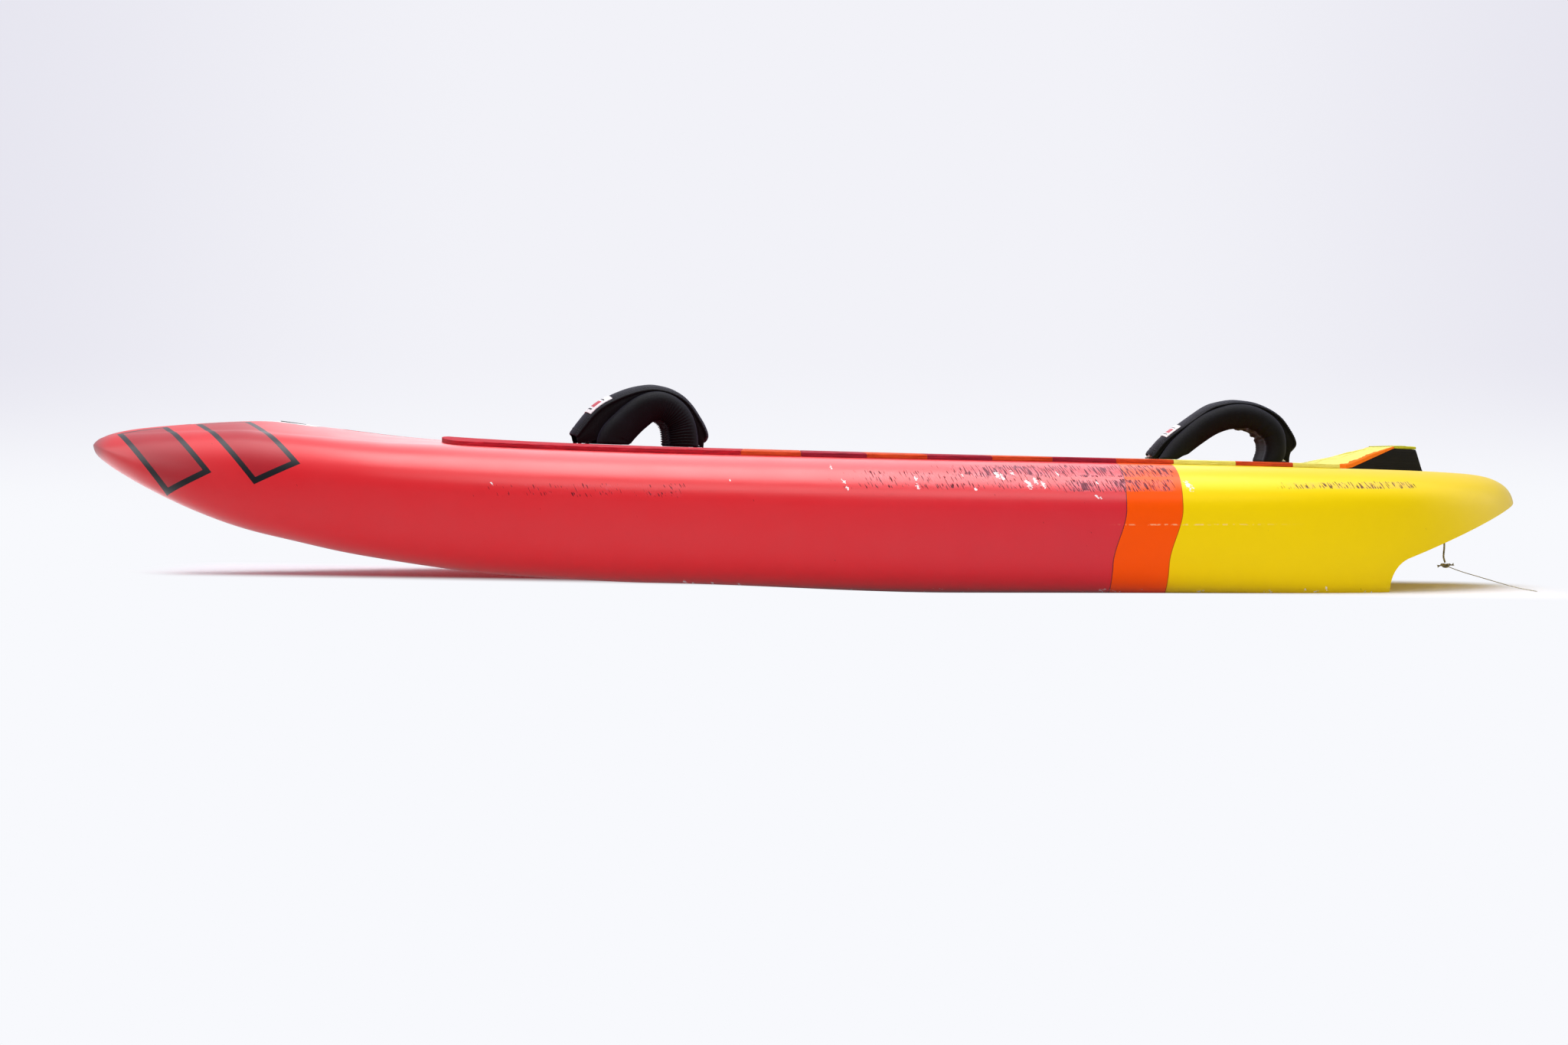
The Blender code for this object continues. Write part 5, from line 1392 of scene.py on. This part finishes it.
# How much deeper than round the rolls are towards the foot, by their share of the way from the fore end.
FRONT_DEPTH = ((0, 2.5), (0.25, 2.3), (0.5, 2.05), (0.75, 1.9), (1, 2.0))
REAR_DEPTH = ((0, 1.1), (0.3, 1.45), (0.55, 1.6), (0.8, 1.2), (1, 1.0))
STRAPS = (
    StrapSize("front_strap", -0.2096, 14, FRONT_ROLLS, FRONT_CROWN, 0.0065, 0.0009, 0.0003, (0.14, 0.285), FRONT_DEPTH),
    StrapSize("rear_strap", 0.549, 0, REAR_ROLLS, REAR_CROWN, 0.0042, 0.0001, 0.0018, (0.12, 0.21), REAR_DEPTH),
)


@dataclass(frozen=True)
class SewingThread(Finish):
    """Bonded polyester sewing thread, a shade lighter than the cloth it is sewn through."""

    name: str = "polyester_thread_bonded"

    def build(self, tree: Tree, shader: bpy.types.Node) -> None:
        """Adds the ply's fine twist."""
        place = add(tree, "TexCoord", out="Object")
        twist = add(tree, "TexNoise", {"Vector": place, "Scale": 4000.0, "Detail": 2.0})
        colour = add(tree, "Mix", {0: twist, 6: linear("#24242c"), 7: linear("#4a4a56")}, **RGBA)
        tree.links.new(colour, shader.inputs["Base Color"])
        bump = add(tree, "Bump", {"Height": twist, "Distance": 0.0001, "Strength": 0.5})
        tree.links.new(bump, shader.inputs["Normal"])
        shader.inputs["Roughness"].default_value = 0.6


class Footstrap:
    """A padded footstrap: two sewn rolls, the load webbing between them and the cover that closes over it."""

    CHANNEL = 0.0158
    CHANNEL_OUTER = 0.0015
    CHANNEL_INNER = 0.0112

    def __init__(self, hull: Hull, size: StrapSize) -> None:
        """Finds the strap's frame on the deck.

        Args:
            hull: The board that it stands on.
            size: Its sizes.
        """
        self.size = size
        turn = math.radians(size.turn)
        ends = []
        for sign in (-1, 1):
            x, y = size.x + sign * size.reach * math.cos(turn), sign * size.reach * math.sin(turn)
            ends.append(Vector((x, y, hull.deck_z(x, y))) + hull.normal(x, y) * (GAP + PAD_THICKNESS))
        self.place = axes_matrix((ends[0] + ends[1]) / 2, ends[1] - ends[0], hull.normal(size.x, 0))
        self.seed = 10 * size.x

    def put(self, obj: Object) -> Object:
        """Moves a piece's points from the strap's frame to the board's."""
        obj.data.transform(self.place)
        return obj

    def section(self, count: int) -> np.ndarray:
        """(out, across) points round the padding, evenly spaced, with its corners eased."""
        centre = self.size.width / 2 - self.size.roll
        turns = np.radians(np.linspace(-70, 188, 27))
        circle = np.column_stack([self.size.roll * np.cos(turns), centre + self.size.roll * np.sin(turns)])
        half = np.vstack([[self.CHANNEL_OUTER, 0], [self.CHANNEL_OUTER, self.CHANNEL], circle,
                          [-self.CHANNEL_INNER, self.CHANNEL], [-self.CHANNEL_INNER, 0]])
        loop = np.vstack([half, half[::-1] * (1, -1)])
        run = run_along(loop)
        fine = np.column_stack([np.interp(np.linspace(0, run[-1], 8 * count, endpoint=False), run, c) for c in loop.T])
        reach = 6
        eased = sum(np.roll(fine, k, axis=0) for k in range(-reach, reach + 1)) / (2 * reach + 1)
        return eased[::8]

    def padding(self) -> Object:
        """The two rolls in one sewn sleeve of jersey over foam."""
        size = self.size
        line = smooth_line(size.rolls, 181)
        section = self.section(76)
        ahead = np.roll(section, -1, axis=0) - np.roll(section, 1, axis=0)
        facing = np.column_stack([ahead[:, 1], -ahead[:, 0]])
        facing /= np.linalg.norm(facing, axis=1)[:, None]
        if (facing * (section - section.mean(axis=0))).sum() < 0:
            facing = -facing
        run = np.linspace(0, 1, len(line))
        length = np.linalg.norm(np.diff(line, axis=0), axis=1).sum()
        rings = []
        depths = fair(size.depth, run)
        for t, point, out, depth in zip(run, line, outward(line, 1.8 * size.roll), depths):
            inner = np.clip(-facing[:, 0] + 0.55, 0, 1.4)
            aft = ease(t, 0.48, 0.72) * ease(t, 1.0, 0.97)
            phase = 2 * math.pi * t * length / 0.0040
            wander = np.array([noise.noise(Vector((a * 120, o * 120, t * 9 + self.seed))) for o, a in section])
            ribs = size.rib_depth * aft * inner * np.sin(phase + 2.4 * wander)
            high = ease(t, 0.42, 0.55) * ease(t, 0.92, 0.8)
            folds = np.array([noise.noise(Vector((t * 26, a * 45, self.seed))) for a in section[:, 1]])
            lumps = size.lumps * high * np.clip(-facing[:, 0], 0, 1) * folds * 1.6
            soft = np.array([noise.noise(Vector((t * 7, a * 30, 5 + self.seed))) for a in section[:, 1]]) * 0.0006
            round_off = -0.0016 * (np.clip(1 - t / 0.014, 0, 1) ** 2 + np.clip(1 - (1 - t) / 0.014, 0, 1) ** 2)
            deep = section * np.column_stack([np.where(section[:, 0] < 0, depth, 1.0), np.ones(len(section))])
            moved = deep + facing * (ribs + lumps + soft + round_off)[:, None]
            high_z = np.maximum(point[1] + out[1] * moved[:, 0] + FIT, FIT)
            rings.append(np.column_stack([point[0] + out[0] * moved[:, 0], moved[:, 1], high_z]))
        return self.put(loft(size.name + "_sleeve", rings))

    def webbing(self) -> Object:
        """The flat load webbing, with its two tabs under the washers."""
        line = smooth_line(self.size.rolls, 91)
        offset, floor = self.CHANNEL_OUTER + 2 * FIT + 0.001, FIT + 0.001
        kept = line + outward(line) * offset
        path = kept[line[:, 1] > 0.008]
        for sign in (-1, 1):
            leg, before = (path[0], path[1]) if sign < 0 else (path[-1], path[-2])
            heading = (leg - before) / np.linalg.norm(leg - before)
            corner = leg + heading * ((floor - leg[1]) / heading[1])
            flat, start = corner + (sign * 0.003, 0), corner - heading * 0.003
            t = np.linspace(0, 1, 7)[:, None]
            bend = (1 - t) ** 2 * start + 2 * t * (1 - t) * corner + t * t * flat
            tab = flat + np.linspace(0, 1, 9)[1:, None] * (sign * 0.0155, 0)
            foot = np.vstack([bend, tab])
            path = np.vstack([foot[::-1], path]) if sign < 0 else np.vstack([path, foot])
        run = run_along(path)
        at = np.linspace(0, run[-1], 260)
        path = np.column_stack([np.interp(at, run, path[:, k]) for k in (0, 1)])
        out = outward(path)
        across = np.linspace(-0.015, 0.015, 15)
        tops, lows = [], []
        for i, (point, n) in enumerate(zip(path, out)):
            thick = 0.00085 + 0.00012 * math.sin(i * 2.1) - 0.0003 * (np.abs(across) > 0.0145)
            over, under = point + n * thick[:, None], point - n * thick[:, None]
            tops.append(np.column_stack([over[:, 0], across, over[:, 1]]))
            lows.append(np.column_stack([under[:, 0], across, under[:, 1]]))
        return self.put(slab(self.size.name + "_load_webbing", np.array(tops), np.array(lows), 50))

    def cover_point(self, t: np.ndarray, s: np.ndarray, depth: float) -> np.ndarray:
        """Points of the cover.

        Args:
            t: How far along it from its fore end, 0 to 1.
            s: How far across it, -1 to 1.
            depth: How far under its outer face.

        Returns:
            Points in the strap's frame, one a row.
        """
        size = self.size
        crown = smooth_line(size.crown, 241)
        out = outward(crown)
        run = np.linspace(0, 1, len(crown))
        point = np.column_stack([np.interp(t, run, crown[:, k]) for k in (0, 1)])
        n = np.column_stack([np.interp(t, run, out[:, k]) for k in (0, 1)])
        half = size.cover_width / 2 * (size.end_share + (1 - size.end_share) * np.sin(math.pi * t) ** 0.5)
        fore = np.maximum(0, 1 - t / 0.2) ** 2
        droop = size.droop + (size.end_droop - size.droop) * fore
        down = droop * np.abs(s) ** 2.2 + depth
        return np.column_stack([point[:, 0] - n[:, 0] * down, s * half, point[:, 1] - n[:, 1] * down])

    def cover(self) -> Object:
        """The cover sheet with its piped edges."""
        rows, columns = 150, 33
        s = np.sin(np.linspace(-1, 1, columns) * math.pi / 2)
        tops, lows = [], []
        for t in np.linspace(0, 1, rows):
            along = np.full(columns, t)
            edge = 0.0011 * np.clip((np.abs(s) - 0.93) / 0.07, 0, 1) ** 2
            end = 0.0009 * (np.clip(1 - t / 0.015, 0, 1) ** 2 + np.clip(1 - (1 - t) / 0.015, 0, 1) ** 2)
            wave = np.array([noise.noise(Vector((t * 14, a * 2.2, self.seed + 3))) for a in s]) * 0.0006
            seam = 0.0005 * np.exp(-(((1 - np.abs(s)) * self.size.cover_width / 2 - 0.0052) / 0.0009) ** 2)
            tops.append(self.cover_point(along, s, 0.0) + self.shift(t, -(edge + end + seam) + wave * 0.5))
            lows.append(self.cover_point(along, s, self.size.cover_thickness) + self.shift(t, edge + end))
        sheet = slab(self.size.name + "_cover_sheet", np.array(tops), np.array(lows), 60)
        pipes = [sheet]
        for side in (-1, 1):
            t = np.linspace(0.004, 0.996, 150)
            path = self.cover_point(t, np.full(len(t), side * 0.985), self.size.cover_thickness * 0.55)
            sides = np.linspace(0, 2 * math.pi, 14, endpoint=False)
            reach = lambda run, angles: 0.00165 + 0.00008 * np.sin(run / 0.0011 + angles * 2)
            pipes.append(loft(f"{self.size.name}_piping_{side}", tube_rings(path, reach, len(sides))))
        with bpy.context.temp_override(active_object=sheet, selected_editable_objects=pipes):
            bpy.ops.object.join()
        return self.put(sheet)

    def shift(self, t: float, rise: np.ndarray) -> np.ndarray:
        """A small move outward at a place along the cover, for each point across it."""
        crown = smooth_line(self.size.crown, 241)
        n = outward(crown)[min(int(t * 240), 240)]
        return np.column_stack([n[0] * rise, np.zeros_like(rise), n[1] * rise])

    def stitching(self) -> Object:
        """Rows of stitches inside the cover's long edges and across its fore end."""
        places = []
        length = np.linalg.norm(np.diff(smooth_line(self.size.crown, 241), axis=0), axis=1).sum()
        inside = 1 - 0.0052 / (self.size.cover_width / 2)
        for side in (-inside, inside):
            for at in np.arange(0.006, length - 0.006, 0.0032):
                places.append((at / length, side, 0.0022 / length, 0.0))
        for s in np.arange(-0.8, 0.81, 0.11):
            places.append((0.035, s, 0.0, 0.07))
        points, faces = [], []
        turns = np.linspace(0, 2 * math.pi, 8, endpoint=False)
        for t, s, dt, ds in places:
            share = np.linspace(-0.5, 0.5, 5)
            path = self.cover_point(t + dt * share, s + ds * share, 0.0)
            path += self.shift(t, 0.00022 * (1 - (2 * share) ** 2) - 0.00012)
            across, over = frames_along(path)
            start = len(points)
            for k, centre in enumerate(path):
                reach = 0.0003 * math.sqrt(max(1 - (1.8 * share[k]) ** 2, 0.05))
                points += [centre + reach * (math.cos(a) * across[k] + math.sin(a) * over[k]) for a in turns]
            faces += strip_faces(5, 8, True, start)
            faces += [tuple(range(start, start + 8)), tuple(range(start + 32, start + 40))]
        return self.put(mesh_object(self.size.name + "_cover_stitching", np.array(points), faces))

    def label(self) -> Object:
        """The woven patch sewn on the cover's fore slope."""
        start, end = self.size.label
        rows, columns = 30, 21
        s = np.linspace(-0.80, 0.80, columns)
        tops, lows = [], []
        for t in np.linspace(start, end, rows):
            along = np.full(columns, t)
            tops.append(self.cover_point(along, s, -0.00075))
            lows.append(self.cover_point(along, s, 0.0001))
        patch = slab(self.size.name + "_label", np.array(tops), np.array(lows), 50)
        layer = patch.data.uv_layers.new(name="patch")
        for loop in patch.data.loops:
            row, column = divmod(loop.vertex_index, 2 * columns)
            column = column if column < columns else 2 * columns - 1 - column
            layer.data[loop.index].uv = (row / (rows - 1), column / (columns - 1))
        return self.put(patch)

    def skirts(self) -> Object:
        """The cover's side panels, from its drooping edges down to the rolls, and to the pad at both ends."""
        made = []
        columns, floor = 70, -0.0008
        rolls = smooth_line(self.size.rolls, 181)
        over_rolls = rolls + outward(rolls) * (self.size.roll * 0.8)
        over_rolls = over_rolls[over_rolls[:, 1] > 0.006]
        t = np.linspace(0.0, 1.0, columns)
        for side in (-1, 1):
            edge = self.cover_point(t, np.full(columns, side * 0.93), 0.0012)
            ends = [(edge[0, 0] + 0.003, floor)], over_rolls, [(edge[-1, 0], floor)]
            lower = np.vstack(ends)
            run = run_along(lower)
            at = t * run[-1]
            foot = np.column_stack([np.interp(at, run, lower[:, 0]), edge[:, 1], np.interp(at, run, lower[:, 1])])
            tops, lows = [], []
            for v in np.linspace(0, 1, 12):
                line = edge * (1 - v) + foot * v
                bulge = 0.0012 * math.sin(math.pi * v) + 0.0006 * noise.noise(Vector((v * 5, side, self.seed)))
                tops.append(line + (0, side * (bulge + 0.0007), 0))
                lows.append(line + (0, side * (bulge - 0.0007), 0))
            made.append(slab(f"{self.size.name}_skirt_{side}", np.array(tops), np.array(lows), 50))
        with bpy.context.temp_override(active_object=made[0], selected_editable_objects=made):
            bpy.ops.object.join()
        made[0].name = self.size.name + "_side_panels"
        return self.put(made[0])

    def plug_pockets(self) -> list[Object]:
        """Cutters for the screw plugs in the deck."""
        found = []
        for end in ("fore", "aft"):
            low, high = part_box(f"{self.size.name}_plug_{end}")
            middle = self.place.inverted() @ ((Vector(low) + Vector(high)) / 2)
            spot = self.place @ Matrix.Translation((middle.x, 0, 0))
            found.append(rod(f"{self.size.name}_{end}_pocket", 0.0104, -0.0321, 0.003, spot))
        return found

    def build(self) -> None:
        """Makes and dresses the strap's pieces."""
        name = self.size.name
        sleeve = dress(self.padding(), KnitNeoprene(), "neoprene", name + "_padding")
        dress(self.webbing(), WovenPolyester(), "strap_webbing", name + "_webbing")
        cover = dress(self.cover(), KnitNeoprene("neoprene_cover_jersey", "#040407", "#0c0c14"), "neoprene", name + "_cover")
        dress(self.skirts(), KnitNeoprene("neoprene_cover_jersey", "#040407", "#0c0c14"), "neoprene")
        dress(self.stitching(), SewingThread(), "strap_webbing")
        dress(self.label(), WovenLabel(), "strap_webbing")
        for end in ("fore", "aft"):
            dress_node(f"{name}_screw_{end}", TurnedSteel(), 0.0002)
            dress_node(f"{name}_washer_{end}", TurnedSteel(), 0.0002)
            dress_node(f"{name}_plug_{end}", MouldedNylon(), 0.0003)


# Fittings and line.


@dataclass
class Fittings:
    """The foil tracks, mast track, vent and leash plug, which stay as modelled and get their finishes."""

    hull: Hull

    def pockets(self) -> list[Object]:
        """Cutters for all of them."""
        hull, flat = self.hull, Matrix.Identity(4)
        found = []
        mast = self.on_deck(-0.525)
        found.append(block("mast_pocket", (0.1306, 0.0346, 0.0486), (0, 0, -0.014), mast))
        for side, y in (("port", -0.045), ("starboard", 0.045)):
            found.append(block("track_pocket_" + side, (0.2806, 0.0246, 0.0476), (0.515, y, 0.0038), flat))
        found.append(rod("vent_pocket", 0.0129, -0.0224, 0.01, self.on_deck(-0.655)))
        found.append(rod("vent_recess", 0.0169, -0.0019, 0.01, self.on_deck(-0.655)))
        slope = math.atan(hull.size.roof_slope)
        origin = Vector((0.841, 0, hull.roof_z(0.841)))
        up_roof, out_of_roof = Vector((math.cos(slope), 0, math.sin(slope))), Vector((math.sin(slope), 0, -math.cos(slope)))
        found.append(rod("leash_pocket", 0.0149, -0.0174, 0.01, axes_matrix(origin, up_roof, out_of_roof)))
        return found

    def on_deck(self, x: float) -> Matrix:
        """A frame on the deck's middle line."""
        return axes_matrix(Vector((x, 0, self.hull.deck_z(x))), Vector((1, 0, 0)), self.hull.normal(x, 0))

    def build(self) -> None:
        """Dresses the fittings and the inner foam."""
        for name in ("mast_track_box", "foil_track_port", "foil_track_starboard"):
            dress_node(name, MouldedNylon(), 0.0004)
        for name in ("vent_plug", "vent_screw", "leash_plug"):
            dress_node(name, MouldedNylon(), 0.0003)
        dress_node("vent_oring", NitrileRubber())
        dress_node("leash_pin", TurnedSteel(), 0.0002)
        dress_node("foam_core", BeadFoam())
        dress_node("foil_block", BeadFoam("pvc_foam_cut_block", "#dccb96", 0.0012))


LINE_ROUTE = (
    (0.8390, 0, 0.0862), (0.8394, 0, 0.074), (0.8406, -0.001, 0.058), (0.8412, -0.003, 0.045),
    (0.8392, -0.007, 0.031), (0.8400, -0.0105, 0.0233),
)
TAIL_LINE_ROUTE = (
    (0.8441, -0.0148, 0.0175), (0.8515, -0.042, 0.0130), (0.8600, -0.090, 0.0085), (0.8660, -0.145, 0.0045),
    (0.8700, -0.200, 0.0016), (0.8740, -0.255, 0.0008),
)


@dataclass
class LeashLine:
    """The thin line under the tail: a twisted cord from the leash plug's pin, its knot, and the fine tail to the floor."""

    radius: float = 0.00125
    tail_radius: float = 0.0005
    knot_centre: tuple[float, float, float] = (0.8405, -0.0115, 0.0195)
    knot_size: tuple[float, float, float] = (0.024, 0.008, 0.0068)

    def twisted(self, radius: float, pitch: float) -> Callable[[float, np.ndarray], np.ndarray]:
        """Radii of a three-strand twist."""
        return lambda run, angles: radius * (0.80 + 0.20 * np.abs(np.sin(1.5 * (angles - 2 * math.pi * run / pitch))))

    def tube(self, name: str, route: Sequence[Sequence[float]], radius: float, count: int) -> tuple:
        """A twisted cord along a route, and the points that it follows."""
        path = smooth_line(route, count)
        fine = smooth_line(route, count * 6)
        return loft(name, tube_rings(fine, self.twisted(radius, 7 * radius), 15)), path

    def knot(self) -> Object:
        """An overhand knot drawn tight, with its two short frayed ends."""
        centre = Vector(self.knot_centre)
        wide, deep, high = (side / 2 - self.radius * 0.9 for side in self.knot_size)
        turns = np.linspace(0, 2 * math.pi, 72, endpoint=False)
        trefoil = np.column_stack([
            (np.sin(turns) + 2 * np.sin(2 * turns)) / 3 * wide * 0.62,
            np.sin(3 * turns) * deep * 0.7,
            (np.cos(turns) - 2 * np.cos(2 * turns)) / 3 * high * 0.95,
        ])
        trefoil = np.vstack([trefoil, trefoil[:1]]) + np.array(centre)
        strand = self.twisted(self.radius * 0.92, 0.008)
        parts = [loft("leash_knot_turns", tube_rings(trefoil, strand, 12))]
        for sign, drop in ((-1, -0.0012), (1, 0.0014)):
            for k in range(5):
                fan = (k - 2) * 0.00055
                route = (
                    centre + Vector((sign * wide * 0.35, 0, 0)),
                    centre + Vector((sign * wide * 0.7, -fan, drop * 0.4 + fan * 0.5)),
                    centre + Vector((sign * wide * 0.98, fan * 1.6, drop + fan * 1.4)),
                )
                end = tube_rings(smooth_line([tuple(p) for p in route], 14), lambda run, angles: 0.00042 - run * 0.015 + 0 * angles, 8)
                parts.append(loft(f"leash_knot_end_{sign}_{k}", end))
        with bpy.context.temp_override(active_object=parts[0], selected_editable_objects=parts):
            bpy.ops.object.join()
        return parts[0]

    def build(self) -> None:
        line, path = self.tube("leash_line_twisted", LINE_ROUTE, self.radius, 24)
        dress(line, TwistedCord(), "cream_cord", "leash_line")
        knot = dress(self.knot(), TwistedCord(), "cream_cord", "leash_knot")
        tail, tail_path = self.tube("leash_tail_twisted", TAIL_LINE_ROUTE, self.tail_radius, 36)
        dress(tail, TwistedCord(), "cream_cord", "leash_tail")


# Studio.


@dataclass
class Studio:
    """The camera, a seamless pale backdrop and soft lamps."""

    eye: tuple[float, float, float] = (-0.0176, -2.8, 0.157)
    tilt: float = 88.319
    lens: float = 49.41
    radiance: float = 3.9
    world_strength: float = 0.38

    def camera(self) -> None:
        """Sets the camera where the photograph was taken from."""
        data = bpy.data.cameras.new("camera")
        data.lens, data.sensor_width, data.clip_end = self.lens, 36.0, 60.0
        made = bpy.data.objects.new("camera", data)
        made.location = self.eye
        made.rotation_euler = (math.radians(self.tilt), 0, 0)
        bpy.context.scene.collection.objects.link(made)
        bpy.context.scene.camera = made

    def backdrop(self) -> None:
        """A floor that sweeps up into a wall behind the board."""
        wall, bend = 2.6, 1.2
        outline = [(-7.0, 0.0)]
        outline += [(wall + bend * math.sin(a), bend * (1 - math.cos(a))) for a in np.linspace(0, math.pi / 2, 24)]
        outline.append((wall + bend, 7.0))
        points = np.array([(x, y, z) for x in (-9.0, 9.0) for y, z in outline])
        made = mesh_object("backdrop", points, strip_faces(2, len(outline), False))
        made.data.materials.append(StudioPaper().material())

    def lamp(self, name: str, at: Sequence[float], aim: Sequence[float], size: Sequence[float], level: float) -> None:
        """Adds a soft box.

        Args:
            name: The lamp's name.
            at: Where it stands.
            aim: The point that it faces.
            size: Its width and height.
            level: Its radiance.
        """
        data = bpy.data.lights.new(name, "AREA")
        data.shape, data.size, data.size_y = "RECTANGLE", size[0], size[1]
        data.energy = math.pi * size[0] * size[1] * level
        made = bpy.data.objects.new(name, data)
        made.location = at
        made.rotation_euler = (Vector(aim) - Vector(at)).to_track_quat("-Z", "Y").to_euler()
        bpy.context.scene.collection.objects.link(made)

    def build(self) -> None:
        """Adds the backdrop, the lamps and the world's even light."""
        self.backdrop()
        self.lamp("overhead_box", (0, -0.1, 2.3), (0, 0, 0), (2.6, 1.7), self.radiance)
        self.lamp("front_fill", (0, -2.6, 2.6), (0, 0, 0.1), (3.8, 1.2), self.radiance * 0.62)
        world = bpy.data.worlds.new("even_light")
        world.use_nodes = True
        tree = world.node_tree
        shader = tree.nodes["Background"]
        seen = add(tree, "LightPath", out="Is Camera Ray")
        glossy = add(tree, "LightPath", out="Is Glossy Ray")
        clear = add(tree, "LightPath", out="Is Transmission Ray")
        either = add(tree, "Math", {0: seen, 1: glossy}, operation="MAXIMUM")
        either = add(tree, "Math", {0: either, 1: clear}, operation="MAXIMUM")
        # The room behind the camera is dark in the lacquer, the space over and behind the board is bright.
        heading = add(tree, "TexCoord", out="Generated")
        ahead = add(tree, "SeparateXYZ", {0: heading}, out=1)
        behind = add(tree, "MapRange", {0: ahead, 1: -0.55, 2: 0.1}, **SMOOTH)
        mirrored = add(tree, "MapRange", {0: behind, 3: 0.1, 4: 2.0})
        shown = add(tree, "Mix", {0: glossy, 2: 0.95, 3: mirrored}, data_type="FLOAT")
        strength = add(tree, "Mix", {0: either, 2: self.world_strength, 3: shown}, data_type="FLOAT")
        shader.inputs["Color"].default_value = linear("#f4f4f9")
        tree.links.new(strength, shader.inputs["Strength"])
        bpy.context.scene.world = world
        bpy.context.scene.view_settings.view_transform = "Standard"


def main() -> None:
    """Builds the board's looks in order."""
    logging.basicConfig(level=logging.INFO, format="%(message)s")
    studio = Studio()
    studio.camera()
    LeashLine().build()
    hull = Hull(HullSize())
    fittings = Fittings(hull)
    straps = [Footstrap(hull, size) for size in STRAPS]
    pockets = fittings.pockets()
    for strap in straps:
        pockets += strap.plug_pockets()
    hull.build(pockets)
    DeckPad(hull).build()
    KickPad(hull).build()
    for strap in straps:
        strap.build()
    fittings.build()
    studio.build()


if __name__ == "__main__":
    main()
